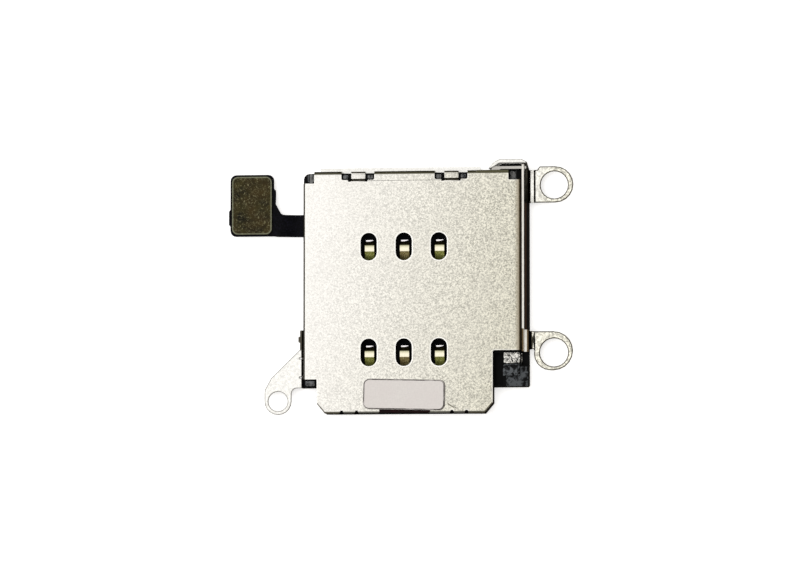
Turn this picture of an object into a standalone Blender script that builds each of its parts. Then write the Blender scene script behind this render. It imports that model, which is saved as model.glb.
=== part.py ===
# Nano SIM card socket: a screwed-down card reader with a stamped cover, a moulded housing,
# six contact springs, a rod and lever ejector, and a short film circuit with a board connector.
# Metres, +Z up. +X runs across the card, the card goes in along +Y, and the cover faces +Z.
# The origin is the centre of the contact field, on the plane that the bracket rests on.

import math

import bmesh
import bpy
from mathutils import Matrix, Vector

MM = 0.001

# Thickness of each layer, from the resting plane up
PLATE_T = 0.15 * MM
FLEX_T = 0.12 * MM
FLOOR_T = 0.20 * MM
CARD_ROOM = 0.85 * MM
COVER_T = 0.12 * MM
LAYER_GAP = 0.02 * MM
SIDE_GAP = 0.04 * MM

# Standard contact field of the card
COLUMN_PITCH = 2.54 * MM
ROW_PITCH = 7.62 * MM

# Cover outline, each side measured from the centre of the contact field
COVER_LEFT = 7.30 * MM
COVER_RIGHT = 8.46 * MM
COVER_BACK = 9.26 * MM
LEFT_WALL_FRONT = 5.72 * MM
RIGHT_WALL_FRONT = 3.71 * MM
TONGUE_LEFT_IN = 0.99 * MM
TONGUE_RIGHT_IN = 2.04 * MM
TONGUE_FRONT = 8.18 * MM
TONGUE_CHAMFER_X = 0.60 * MM
TONGUE_CHAMFER_Y = 0.72 * MM
LEFT_CORNER_X = 0.80 * MM
LEFT_CORNER_Y = 0.85 * MM
RIGHT_CORNER_X = 0.89 * MM
RIGHT_CORNER_Y = 0.71 * MM
COVER_BEND = 0.16 * MM
COVER_SKIRT_GAP = 0.05 * MM
BACK_WALL_IN = 3.26 * MM
WINDOW_W = 1.18 * MM
WINDOW_L = 2.00 * MM

# Joggled latch tabs on the cover's rear edge
LATCH_CENTRES = (-3.33 * MM, 3.42 * MM)
LATCH_W = 1.02 * MM
LATCH_NOTCH_W = 2.38 * MM
LATCH_NOTCH_D = 0.62 * MM
LATCH_RELIEF_W = 0.20 * MM
LATCH_RELIEF_D = 0.13 * MM
LATCH_DROP = 0.22 * MM
LATCH_SLOPE = 0.20 * MM
LATCH_LEG = 0.45 * MM
LATCH_BEND = 0.125 * MM
LATCH_LUMP_W = 0.36 * MM
LATCH_LUMP_L = 0.26 * MM
LATCH_LUMP_H = 0.07 * MM

# Windows in the cover's walls that snap over nubs of the housing
SNAP_LEFT_PLACES = (-4.30 * MM, 2.20 * MM)
SNAP_BACK_PLACES = (0.05 * MM,)
SNAP_L = 1.50 * MM
SNAP_H = 0.40 * MM
SNAP_RISE = 0.62 * MM
SNAP_CLEARANCE = 0.05 * MM
SNAP_BACKSET = 0.03 * MM

# Finger notch and lip slits in the tongue's front edge
FINGER_NOTCH_W = 3.64 * MM
FINGER_NOTCH_D = 0.30 * MM
SLIT_CENTRES = (-4.50 * MM, -3.42 * MM, 3.48 * MM, 4.53 * MM)
SLIT_W = 0.32 * MM
SLIT_D = 0.20 * MM

# Housing: card space, posts, rod ledge and the block beside the card mouth
CARD_SPACE_LEFT_IN = 1.55 * MM
CARD_SPACE_RIGHT_IN = 2.61 * MM
CARD_SPACE_INSET = 0.74 * MM
CARD_CORNER = 1.20 * MM
MOUTH_CHAMFER = 0.13 * MM
HOUSING_PROUD = 0.03 * MM
RAIL_FRONT = 6.30 * MM
BLOCK_OUT = 0.50 * MM
BLOCK_FRONT = 6.32 * MM
BLOCK_SHELF_H = 0.55 * MM
BLOCK_BOSS_H = 0.25 * MM
BLOCK_BOSS_W = 1.18 * MM
BLOCK_BOSS_L = 0.83 * MM
BLOCK_STEP_H = 0.07 * MM
BLOCK_TRENCH_W = 0.60 * MM
BLOCK_MARGIN = 0.08 * MM
TRENCH_DEPTH = 0.35 * MM
GUIDE_H = 0.46 * MM
CORNER_BLOCK_DROP = 0.22 * MM
CORNER_PAD_W = 0.66 * MM
CORNER_PAD_L = 0.36 * MM
POST_LOBE_W = 0.44 * MM
POST_LOBE_L = 0.66 * MM
POST_LOBE_H = 0.08 * MM
SLIDE_PAD_W = 0.43 * MM
SLIDE_PAD_L = 0.60 * MM
SLIDE_PAD_OUT = 1.37 * MM
CONTACT_SLOT_W = 0.84 * MM
CONTACT_SLOT_BACK = 0.85 * MM
STUD_PLACES = (
    (-6.45 * MM, 7.40 * MM),
    (-6.45 * MM, -4.90 * MM),
    (7.10 * MM, 4.60 * MM),
    (7.75 * MM, -5.45 * MM),
)
STUD_R = 0.35 * MM
STUD_CLEARANCE = 0.04 * MM
STUD_INSET = 0.03 * MM

# Contact springs
CONTACT_W = 0.68 * MM
CONTACT_T = 0.08 * MM
CONTACT_TAIL = 0.35 * MM
CONTACT_ROOT = 1.80 * MM
CONTACT_CROWN_Y = 0.13 * MM
CONTACT_CROWN_L = 0.42 * MM
CONTACT_CROWN_H = 0.64 * MM
CONTACT_FALL = 0.24 * MM
CONTACT_LIP_H = 0.48 * MM
CONTACT_LIP_L = 0.15 * MM
CONTACT_LIP_W = 0.53 * MM
CONTACT_RIDE = 0.05 * MM

# Ejector rod and lever
ROD_T = 0.16 * MM
ROD_REACH = 0.48 * MM
ROD_FRONT = 3.80 * MM
ROD_FOOT_T = 0.45 * MM
ROD_FOOT_L = 1.57 * MM
ROD_FOOT_H = 0.52 * MM
ROD_H = 0.68 * MM
ROD_TRAVEL = 0.80 * MM
ROD_SLOT_L = 0.50 * MM
LEVER_T = 0.26 * MM
LEVER_BASE = 0.30 * MM
LEVER_UNDER = 0.10 * MM
LEVER_ARM = 2.40 * MM
LEVER_OFFSET = 1.25 * MM
LEVER_TIP_OUT = 0.19 * MM
LEVER_TIP_W = 0.20 * MM
LEVER_TIP_REACH = 0.24 * MM
LEVER_LONG_ARM = 5.30 * MM
LEVER_LONG_W = 0.46 * MM
LEVER_LONG_TIP = 0.30 * MM
LEVER_HUB_R = 0.46 * MM
PIN_R = 0.24 * MM
PIN_HEAD_R = 0.38 * MM
PIN_HEAD_T = 0.10 * MM
PIN_CLEARANCE = 0.03 * MM

# Bracket: screw ears, rear flange and guard
EAR_RISE = 0.60 * MM
PLATE_OUT = 0.06 * MM
PLATE_BACKSET = 0.14 * MM
FLANGE_REACH = 0.35 * MM
FLANGE_LEFT_IN = 1.11 * MM
FLANGE_RIGHT_IN = 3.13 * MM
GUARD_REACH = 0.79 * MM
GUARD_H = 1.20 * MM
GUARD_LIP_W = 0.27 * MM
GUARD_LIP_T = 0.10 * MM
GUARD_SPAN = 2.01 * MM
GUARD_OUT = 0.26 * MM
REAR_EAR_OUT = 1.91 * MM
REAR_EAR_INSET = 1.03 * MM
REAR_EAR_R = 1.30 * MM
REAR_HOLE_OFF = 0.07 * MM
REAR_HOLE_LOW = 0.04 * MM
REAR_EAR_HOLE_R = 0.99 * MM
REAR_RISE_START = -0.06 * MM
REAR_RISE_END = 0.16 * MM
REAR_STEP_START = 0.42 * MM
REAR_STEP_END = 0.52 * MM
REAR_STEP_H = 0.11 * MM
FRONT_EAR_OUT = 1.76 * MM
FRONT_EAR_Y = -3.74 * MM
FRONT_EAR_R = 1.40 * MM
FRONT_HOLE_OFF = 0.04 * MM
FRONT_HOLE_LOW = 0.12 * MM
FRONT_EAR_HOLE_R = 1.02 * MM
FRONT_JOGGLE_START = 0.07 * MM
FRONT_JOGGLE_END = 0.28 * MM
LEFT_EAR_OUT = 1.86 * MM
LEFT_EAR_Y = -7.25 * MM
LEFT_EAR_R = 0.97 * MM
LEFT_EAR_HOLE_R = 0.71 * MM
LEFT_SHOULDER_IN = 0.49 * MM
LEFT_SHOULDER_UP = 1.68 * MM
LEFT_SHOULDER_LOW = 0.80 * MM
LEFT_SHOULDER_R = 0.60 * MM
LEFT_JOGGLE_START = 0.06 * MM
LEFT_JOGGLE_END = 0.24 * MM
STRIP_BACK = -2.09 * MM
STRIP_FRONT = -3.53 * MM
STRIP_NUB = 0.12 * MM
FOLD_NICKS = (-4.15 * MM, -5.53 * MM)
FOLD_NICK_R = 0.07 * MM

# Film circuit, stiffener and board connector
TAIL_INSET = 3.02 * MM
TAIL_W = 1.60 * MM
FLEX_PAD_LEFT_OUT = 5.42 * MM
FLEX_PAD_W = 3.18 * MM
FLEX_PAD_INSET = 0.11 * MM
FLEX_UNDER_REACH = 0.60 * MM
FLEX_FILLET = 0.55 * MM
FLEX_HEEL = 0.30 * MM
FLEX_SHOULDER_OUT = 0.12 * MM
FLEX_SHOULDER_UP = 0.80 * MM
FLEX_EAR_OUT = 0.14 * MM
FLEX_EAR_START = 1.20 * MM
FLEX_EAR_L = 0.54 * MM
FLEX_TAB_OUT = 0.11 * MM
FLEX_TAB_START = 0.68 * MM
FLEX_TAB_L = 0.94 * MM
FLEX_SLANT = 0.16 * MM
FLEX_EDGE_R = 0.05 * MM
FLEX_RISE_START = 0.40 * MM
FLEX_RISE_END = 1.90 * MM
STIFFENER_T = 0.15 * MM
STIFFENER_MARGIN = 0.13 * MM
STIFFENER_R = 0.42 * MM
CONNECTOR_W = 1.90 * MM
CONNECTOR_L = 3.50 * MM
CONNECTOR_H = 0.52 * MM
CONNECTOR_GROOVE_W = 0.80 * MM
CONNECTOR_GROOVE_D = 0.34 * MM
TERMINAL_PAIRS = 4
TERMINAL_PITCH = 0.35 * MM
TERMINAL_W = 0.16 * MM
TERMINAL_T = 0.06 * MM
HOLDDOWN_W = 0.50 * MM
HOLDDOWN_T = 0.08 * MM

# Adhesive pad on the tongue
PAD_W = 5.88 * MM
PAD_L = 2.18 * MM
PAD_T = 0.08 * MM
PAD_R = 0.42 * MM
PAD_TURN_DEG = -1.3
PAD_OVERHANG = 0.06 * MM

# Card-detect switch
SWITCH_T = 0.08 * MM
SWITCH_H = 0.50 * MM
SWITCH_ROOT_X = 0.55 * MM
SWITCH_ROOT_Y = -0.90 * MM
SWITCH_LENGTH = 2.30 * MM
SWITCH_STUB = 0.20 * MM
SWITCH_STRAIGHT = 0.25 * MM
SWITCH_CURL = 0.43 * MM
SWITCH_BEND_R = 0.20 * MM
SWITCH_BUMP = 0.18 * MM
SWITCH_CLEARANCE = 0.05 * MM
SWITCH_POCKET_W = 0.80 * MM
TERMINAL_PLATE_T = 0.10 * MM
TERMINAL_PAD_W = 1.16 * MM
TERMINAL_PAD_L = 0.78 * MM
TERMINAL_FIN_T = 0.08 * MM
TERMINAL_FIN_H = 0.22 * MM

# Heights that follow from the layers
Z_FLEX = PLATE_T + LAYER_GAP
Z_HOUSING = Z_FLEX + FLEX_T + LAYER_GAP
Z_FLOOR = Z_HOUSING + FLOOR_T
Z_CEILING = Z_FLOOR + CARD_ROOM
Z_COVER = Z_CEILING + COVER_T
Z_RAIL = Z_CEILING - LAYER_GAP
Z_SKIRT = PLATE_T + COVER_SKIRT_GAP
Z_RIGHT_SKIRT = Z_FLOOR + COVER_SKIRT_GAP
Z_CONTACT = Z_FLEX + FLEX_T + CONTACT_RIDE + CONTACT_T / 2
Z_LEVER = Z_FLOOR + LEVER_BASE
Z_YARD = Z_LEVER - LEVER_UNDER
Z_SHELF = Z_HOUSING + BLOCK_SHELF_H

# Places that follow from the cover's edges
TONGUE_LEFT = COVER_LEFT - TONGUE_LEFT_IN
TONGUE_RIGHT = COVER_RIGHT - TONGUE_RIGHT_IN
BACK_WALL_END = COVER_RIGHT - BACK_WALL_IN
CARD_SPACE_LEFT = COVER_LEFT - CARD_SPACE_LEFT_IN
CARD_SPACE_RIGHT = COVER_RIGHT - CARD_SPACE_RIGHT_IN
FLANGE_LEFT = COVER_LEFT - FLANGE_LEFT_IN
FLANGE_RIGHT = COVER_RIGHT - FLANGE_RIGHT_IN
GUARD_LEFT = COVER_RIGHT - GUARD_SPAN
CARD_SPACE_BACK = COVER_BACK - CARD_SPACE_INSET
BLOCK_RIGHT = COVER_RIGHT + BLOCK_OUT
PLATE_LEFT = COVER_LEFT + PLATE_OUT
PLATE_BACK = COVER_BACK - PLATE_BACKSET
FLANGE_BACK = COVER_BACK + FLANGE_REACH
GUARD_BACK = COVER_BACK + GUARD_REACH
GUARD_RIGHT = COVER_RIGHT + GUARD_OUT
REAR_EAR_X = BLOCK_RIGHT + REAR_EAR_OUT
REAR_EAR_Y = COVER_BACK - REAR_EAR_INSET
FRONT_EAR_X = BLOCK_RIGHT + FRONT_EAR_OUT
LEFT_EAR_X = -PLATE_LEFT - LEFT_EAR_OUT
TAIL_BACK = COVER_BACK - TAIL_INSET
TAIL_FRONT = TAIL_BACK - TAIL_W
FLEX_PAD_LEFT = COVER_LEFT + FLEX_PAD_LEFT_OUT
FLEX_PAD_RIGHT = FLEX_PAD_LEFT - FLEX_PAD_W
FLEX_PAD_BACK = COVER_BACK - FLEX_PAD_INSET
FLEX_PAD_FRONT = TAIL_FRONT + 2 * LAYER_GAP
ROD_LEFT = COVER_RIGHT + SIDE_GAP
ROD_RIGHT = ROD_LEFT + ROD_T
ROD_BACK = COVER_BACK + ROD_REACH
ROD_CENTRE = ROD_LEFT + ROD_T / 2
LEDGE_BACK = REAR_EAR_Y - REAR_EAR_R - SIDE_GAP
PIVOT_X = ROD_CENTRE - LEVER_ARM
TIP_Y = COVER_BACK + LEVER_TIP_OUT
PIVOT_Y = TIP_Y - LEVER_OFFSET
LEVER_TURN = ROD_TRAVEL / LEVER_ARM
ARC_STEPS = 5
FOLD_STEPS = 3
FINE = 0.00001 * MM
SAME_POINT = 0.0005 * MM
CLEAR_OUT = 1.0 * MM

# Turns an outline drawn as (Y, Z) upright, with its thickness along X
STAND_ON_EDGE = Matrix(((0, 0, 1, 0), (1, 0, 0, 0), (0, 1, 0, 0), (0, 0, 0, 1)))

parts = None
cutters = None


def clear_scene():
    """Remove every object that the file starts with."""
    for item in list(bpy.data.objects):
        bpy.data.objects.remove(item, do_unlink=True)


def make_collection(name):
    """Return a new collection linked to the scene."""
    collection = bpy.data.collections.new(name)
    bpy.context.scene.collection.children.link(collection)
    return collection


def finish_material(name, colour, roughness, metallic):
    """Return a Principled material with the part's plain colour."""
    material = bpy.data.materials.new(name)
    material.use_nodes = True
    shader = material.node_tree.nodes["Principled BSDF"]
    shader.inputs["Base Color"].default_value = (*colour, 1.0)
    shader.inputs["Roughness"].default_value = roughness
    shader.inputs["Metallic"].default_value = metallic
    return material


def add_object(name, mesh, material):
    """Link a mesh as a named part."""
    item = bpy.data.objects.new(name, mesh)
    parts.objects.link(item)
    if material is not None:
        mesh.materials.clear()
        mesh.materials.append(material)
    return item


def mesh_from(bm, name):
    """Write a bmesh to a new mesh with its faces pointing out."""
    bmesh.ops.recalc_face_normals(bm, faces=bm.faces)
    mesh = bpy.data.meshes.new(name)
    bm.to_mesh(mesh)
    bm.free()
    return mesh


def rounded(corners, steps=ARC_STEPS):
    """Return the points of a closed outline whose corners (x, y, radius) are rounded."""
    points = []
    count = len(corners)
    for index, (x, y, radius) in enumerate(corners):
        here = Vector((x, y))
        if radius <= 0:
            points.append((x, y))
            continue
        before = (Vector(corners[index - 1][:2]) - here).normalized()
        after = (Vector(corners[(index + 1) % count][:2]) - here).normalized()
        half = before.angle(after) / 2
        reach = radius / math.tan(half)
        centre = here + (before + after).normalized() * (radius / math.sin(half))
        start = here + before * reach - centre
        sweep = start.angle_signed(here + after * reach - centre)
        for step in range(steps + 1):
            turned = start.copy()
            turned.rotate(Matrix.Rotation(-sweep * step / steps, 2))
            points.append(tuple(centre + turned))
    kept = [p for i, p in enumerate(points) if math.dist(p, points[i - 1]) > SAME_POINT]
    return kept


def circle(x, y, radius, steps=24):
    """Return the points of a circle."""
    angles = [2 * math.pi * step / steps for step in range(steps)]
    return [(x + radius * math.cos(a), y + radius * math.sin(a)) for a in angles]


def box_corners(x, y, width, length, radius):
    """Return the corners of a rectangle about a centre, anticlockwise."""
    left, right = x - width / 2, x + width / 2
    front, back = y - length / 2, y + length / 2
    return [(left, front, radius), (right, front, radius), (right, back, radius), (left, back, radius)]


def rectangle(x0, x1, y0, y1, radius=0.0):
    """Return the points of a rectangle with rounded corners."""
    return rounded(box_corners((x0 + x1) / 2, (y0 + y1) / 2, x1 - x0, y1 - y0, radius))


def flat_sheet(loops, height):
    """Return a bmesh with one flat face sheet inside the first loop and outside the others."""
    bm = bmesh.new()
    edges = []
    for loop in loops:
        verts = [bm.verts.new((x, y, height)) for x, y in loop]
        edges += [bm.edges.new((verts[i - 1], verts[i])) for i in range(len(verts))]
    bmesh.ops.triangle_fill(bm, use_beauty=True, use_dissolve=False, edges=edges)
    bmesh.ops.recalc_face_normals(bm, faces=bm.faces)
    if sum(face.normal.z for face in bm.faces) < 0:
        bmesh.ops.reverse_faces(bm, faces=bm.faces)
    return bm


def cut_line(bm, point, normal):
    """Cut every face along a plane, for a fold or a joggle."""
    geometry = bm.verts[:] + bm.edges[:] + bm.faces[:]
    bmesh.ops.bisect_plane(bm, geom=geometry, dist=FINE, plane_co=point, plane_no=normal)


def prism(name, loops, bottom, top, material=None):
    """Return a straight-sided solid from a 2D curve outline with holes."""
    curve = bpy.data.curves.new(name, "CURVE")
    curve.dimensions = "2D"
    curve.fill_mode = "BOTH"
    curve.extrude = (top - bottom) / 2
    for loop in loops:
        spline = curve.splines.new("POLY")
        spline.points.add(len(loop) - 1)
        for point, (x, y) in zip(spline.points, loop):
            point.co = (x, y, 0.0, 1.0)
        spline.use_cyclic_u = True
    guide = bpy.data.objects.new(name + "_guide", curve)
    guide.location = (0.0, 0.0, (top + bottom) / 2)
    parts.objects.link(guide)
    bpy.context.view_layer.update()
    graph = bpy.context.evaluated_depsgraph_get()
    mesh = bpy.data.meshes.new_from_object(guide.evaluated_get(graph))
    bm = bmesh.new()
    bm.from_mesh(mesh)
    bmesh.ops.remove_doubles(bm, verts=bm.verts, dist=FINE)
    bmesh.ops.transform(bm, matrix=guide.matrix_world, verts=bm.verts)
    bpy.data.objects.remove(guide, do_unlink=True)
    bpy.data.curves.remove(curve)
    bpy.data.meshes.remove(mesh)
    return add_object(name, mesh_from(bm, name), material)


def block(name, x_range, y_range, z_range, material=None):
    """Return a box between the given limits."""
    bm = bmesh.new()
    size = [high - low for low, high in (x_range, y_range, z_range)]
    centre = [(high + low) / 2 for low, high in (x_range, y_range, z_range)]
    bmesh.ops.create_cube(bm, size=1.0)
    bmesh.ops.scale(bm, vec=size, verts=bm.verts)
    bmesh.ops.translate(bm, vec=centre, verts=bm.verts)
    return add_object(name, mesh_from(bm, name), material)


def as_cutter(item):
    """Move an object to the cutters and hide it from the render."""
    parts.objects.unlink(item)
    cutters.objects.link(item)
    item.hide_render = True
    item.display_type = "WIRE"
    return item


def combine(target, tool, operation="DIFFERENCE"):
    """Cut, or join, one object with another."""
    modifier = target.modifiers.new(tool.name, "BOOLEAN")
    modifier.operation = operation
    modifier.solver = "EXACT"
    modifier.object = as_cutter(tool)


def fold_down(bm, picker, outward, radius, depth):
    """Fold the boundary edges that picker accepts downwards, round a bend and then straight."""
    edges = [edge for edge in bm.edges if edge.is_boundary and picker(edge)]
    angles = [math.pi / 2 * step / FOLD_STEPS for step in range(FOLD_STEPS + 1)]
    places = [(radius * math.sin(a), radius * math.cos(a) - radius) for a in angles]
    places.append((radius, -depth))
    for before, after in zip(places, places[1:]):
        result = bmesh.ops.extrude_edge_only(bm, edges=edges)
        moved = [item for item in result["geom"] if isinstance(item, bmesh.types.BMVert)]
        edges = [item for item in result["geom"] if isinstance(item, bmesh.types.BMEdge)]
        edges = [edge for edge in edges if all(vert in moved for vert in edge.verts)]
        out = after[0] - before[0]
        step = (outward[0] * out, outward[1] * out, after[1] - before[1])
        bmesh.ops.translate(bm, vec=step, verts=moved)


def sheet_part(name, bm, thickness, offset, material):
    """Turn an open surface into a sheet-metal part with a Solidify modifier."""
    mesh = bpy.data.meshes.new(name)
    bm.to_mesh(mesh)
    bm.free()
    item = add_object(name, mesh, material)
    modifier = item.modifiers.new("thickness", "SOLIDIFY")
    modifier.thickness = thickness
    modifier.offset = offset
    modifier.use_even_offset = True
    return item


def strip_part(name, path, half_widths, thickness, material, across="X"):
    """Return a bent strip: a path of (along, height) points with a half width at each."""
    bm = bmesh.new()
    rows = []
    for (along, height), half in zip(path, half_widths):
        if across == "X":
            rows.append([bm.verts.new((side * half, along, height)) for side in (-1, 1)])
        else:
            rows.append([bm.verts.new((along, height, side * half)) for side in (-1, 1)])
    for first, second in zip(rows, rows[1:]):
        bm.faces.new((first[0], first[1], second[1], second[0]))
    return sheet_part(name, bm, thickness, 0.0, material)


def joggle(value, start, end):
    """Return 0 before start, 1 after end and a smooth rise between them."""
    share = min(1.0, max(0.0, (value - start) / (end - start)))
    return share * share * (3 - 2 * share)


def spaced(start, end, count):
    """Return count values spread evenly from start to end."""
    return [start + (end - start) * index / (count - 1) for index in range(count)]


# Cover


def latch_corners(centre):
    """Return the outline corners of one rear notch with its tab, from right to left."""
    notch_y = COVER_BACK - LATCH_NOTCH_D
    relief_y = notch_y - LATCH_RELIEF_D
    tab_end = COVER_BACK - LATCH_BEND
    half_notch = LATCH_NOTCH_W / 2
    half_tab = LATCH_W / 2
    right = [
        (centre + half_notch, COVER_BACK - COVER_BEND, 0.0),
        (centre + half_notch, notch_y, 0.10 * MM),
        (centre + half_tab + LATCH_RELIEF_W, notch_y, 0.04 * MM),
        (centre + half_tab + LATCH_RELIEF_W, relief_y, 0.04 * MM),
        (centre + half_tab, relief_y, 0.04 * MM),
        (centre + half_tab, tab_end, 0.0),
    ]
    left = [(2 * centre - x, y, radius) for x, y, radius in reversed(right)]
    return right + left


def front_slit(centre):
    """Return the corners of one small slit in the tongue's front edge, from left to right."""
    return [
        (centre - SLIT_W / 2, -TONGUE_FRONT, 0.0),
        (centre - SLIT_W / 4, -TONGUE_FRONT + SLIT_D, 0.0),
        (centre + SLIT_W / 4, -TONGUE_FRONT + SLIT_D, 0.0),
        (centre + SLIT_W / 2, -TONGUE_FRONT, 0.0),
    ]


def finger_notch():
    """Return the corners of the finger notch in the tongue's front edge."""
    half = FINGER_NOTCH_W / 2
    return [
        (-half, -TONGUE_FRONT, 0.0),
        (-half + FINGER_NOTCH_D / 2, -TONGUE_FRONT + FINGER_NOTCH_D, 0.05 * MM),
        (half - FINGER_NOTCH_D / 2, -TONGUE_FRONT + FINGER_NOTCH_D, 0.05 * MM),
        (half, -TONGUE_FRONT, 0.0),
    ]


def cover_outline():
    """Return the cover's flat outline, anticlockwise from the tongue's front left."""
    corners = [(-TONGUE_LEFT, -TONGUE_FRONT + TONGUE_CHAMFER_Y, 0.0)]
    corners.append((-TONGUE_LEFT + TONGUE_CHAMFER_X, -TONGUE_FRONT, 0.0))
    for centre in SLIT_CENTRES[:2]:
        corners += front_slit(centre)
    corners += finger_notch()
    for centre in SLIT_CENTRES[2:]:
        corners += front_slit(centre)
    corners.append((TONGUE_RIGHT - TONGUE_CHAMFER_X, -TONGUE_FRONT, 0.0))
    corners.append((TONGUE_RIGHT, -TONGUE_FRONT + TONGUE_CHAMFER_Y, 0.0))
    corners.append((TONGUE_RIGHT, -RIGHT_WALL_FRONT, 0.12 * MM))
    right_fold = COVER_RIGHT - COVER_BEND
    left_fold = -COVER_LEFT + COVER_BEND
    back_fold = COVER_BACK - COVER_BEND
    corners.append((right_fold, -RIGHT_WALL_FRONT, 0.0))
    corners.append((right_fold, COVER_BACK - RIGHT_CORNER_Y, 0.0))
    corners.append((COVER_RIGHT - RIGHT_CORNER_X, COVER_BACK - RIGHT_CORNER_Y, 0.05 * MM))
    corners.append((COVER_RIGHT - RIGHT_CORNER_X, COVER_BACK, 0.0))
    corners.append((BACK_WALL_END + 0.06 * MM, COVER_BACK, 0.0))
    corners.append((BACK_WALL_END, back_fold, 0.0))
    for centre in reversed(LATCH_CENTRES):
        corners += latch_corners(centre)
    corners.append((-COVER_LEFT + LEFT_CORNER_X, back_fold, 0.0))
    corners.append((-COVER_LEFT + LEFT_CORNER_X, COVER_BACK - LEFT_CORNER_Y, 0.05 * MM))
    corners.append((left_fold, COVER_BACK - LEFT_CORNER_Y, 0.0))
    corners.append((left_fold, -LEFT_WALL_FRONT, 0.0))
    corners.append((-TONGUE_LEFT, -LEFT_WALL_FRONT, 0.05 * MM))
    return rounded(corners, 3)


def contact_places():
    """Return the centre of each contact window, row by row."""
    rows = (ROW_PITCH / 2, -ROW_PITCH / 2)
    columns = (-COLUMN_PITCH, 0.0, COLUMN_PITCH)
    return [(x, y) for y in rows for x in columns]


def stadium(x, y):
    """Return the outline of one cover window."""
    radius = WINDOW_W / 2
    return rounded(box_corners(x, y, WINDOW_W, WINDOW_L, radius), 6)


def snap_places(clearance):
    """Return the limits of each snap window, or of the nub in it when a clearance is given."""
    half = SNAP_L / 2 - clearance
    heights = (SNAP_RISE + clearance, SNAP_RISE + SNAP_H - clearance)
    reach = COVER_T + LAYER_GAP + SIDE_GAP
    outer = -SNAP_BACKSET if clearance else SIDE_GAP
    places = [
        ((-COVER_LEFT - outer, -COVER_LEFT + reach), (y - half, y + half), heights)
        for y in SNAP_LEFT_PLACES
    ]
    places += [
        ((x - half, x + half), (COVER_BACK - reach, COVER_BACK + outer), heights)
        for x in SNAP_BACK_PLACES
    ]
    return places


def make_cover(material):
    """Model the stamped cover: windows, joggled latch tabs and folded side walls."""
    windows = [stadium(x, y) for x, y in contact_places()]
    bm = flat_sheet([cover_outline()] + windows, Z_COVER)
    slope_start = COVER_BACK - LATCH_NOTCH_D - LATCH_RELIEF_D + 0.03 * MM
    slope_end = slope_start + LATCH_SLOPE
    for y in spaced(slope_start, slope_end, 4):
        cut_line(bm, (0.0, y, 0.0), (0.0, 1.0, 0.0))
    for vert in bm.verts:
        for centre in LATCH_CENTRES:
            if abs(vert.co.x - centre) <= LATCH_W / 2 + FINE and vert.co.y > slope_start:
                vert.co.z -= LATCH_DROP * joggle(vert.co.y, slope_start, slope_end)

    def lies_at(edge, axis, place):
        return all(abs(vert.co[axis] - place) < FINE for vert in edge.verts)

    def on_left(edge):
        return lies_at(edge, 0, COVER_BEND - COVER_LEFT)

    def on_right(edge):
        return lies_at(edge, 0, COVER_RIGHT - COVER_BEND)

    def on_back(edge):
        return lies_at(edge, 1, COVER_BACK - COVER_BEND) and lies_at(edge, 2, Z_COVER)

    def on_latch(edge):
        return lies_at(edge, 1, COVER_BACK - LATCH_BEND)

    depth = Z_COVER - Z_SKIRT
    fold_down(bm, on_latch, (0.0, 1.0), LATCH_BEND, LATCH_LEG)
    fold_down(bm, on_left, (-1.0, 0.0), COVER_BEND, depth)
    fold_down(bm, on_right, (1.0, 0.0), COVER_BEND, Z_COVER - Z_RIGHT_SKIRT)
    fold_down(bm, on_back, (0.0, 1.0), COVER_BEND, depth)
    cover = sheet_part("cover_shell", bm, COVER_T, -1.0, material)
    tail_door = block(
        "tail_door_cutter",
        (-COVER_LEFT - CLEAR_OUT, -COVER_LEFT + CLEAR_OUT),
        (TAIL_FRONT - 0.15 * MM, TAIL_BACK + 0.15 * MM),
        (0.0, Z_HOUSING + 0.10 * MM),
    )
    combine(cover, tail_door)
    for index, (x_range, y_range, z_range) in enumerate(snap_places(0.0), 1):
        combine(cover, block(f"snap_window_cutter_{index}", x_range, y_range, z_range))
    return cover


# Bracket


def guard_corners(inset):
    """Return the corners of the guard's rear wall from left to right, moved in by inset."""
    return [
        (GUARD_LEFT - 0.36 * MM + inset * 0.6, GUARD_BACK - 0.64 * MM, 0.0),
        (GUARD_LEFT + 0.02 * MM + inset * 0.6, GUARD_BACK - 0.22 * MM - inset * 0.8, 0.35 * MM),
        (GUARD_LEFT + 0.42 * MM, GUARD_BACK - inset, 0.35 * MM),
        (GUARD_RIGHT - 0.24 * MM, GUARD_BACK - inset, 0.12 * MM),
        (GUARD_RIGHT + 0.06 * MM, GUARD_BACK - 0.16 * MM - inset, 0.0),
    ]


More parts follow.
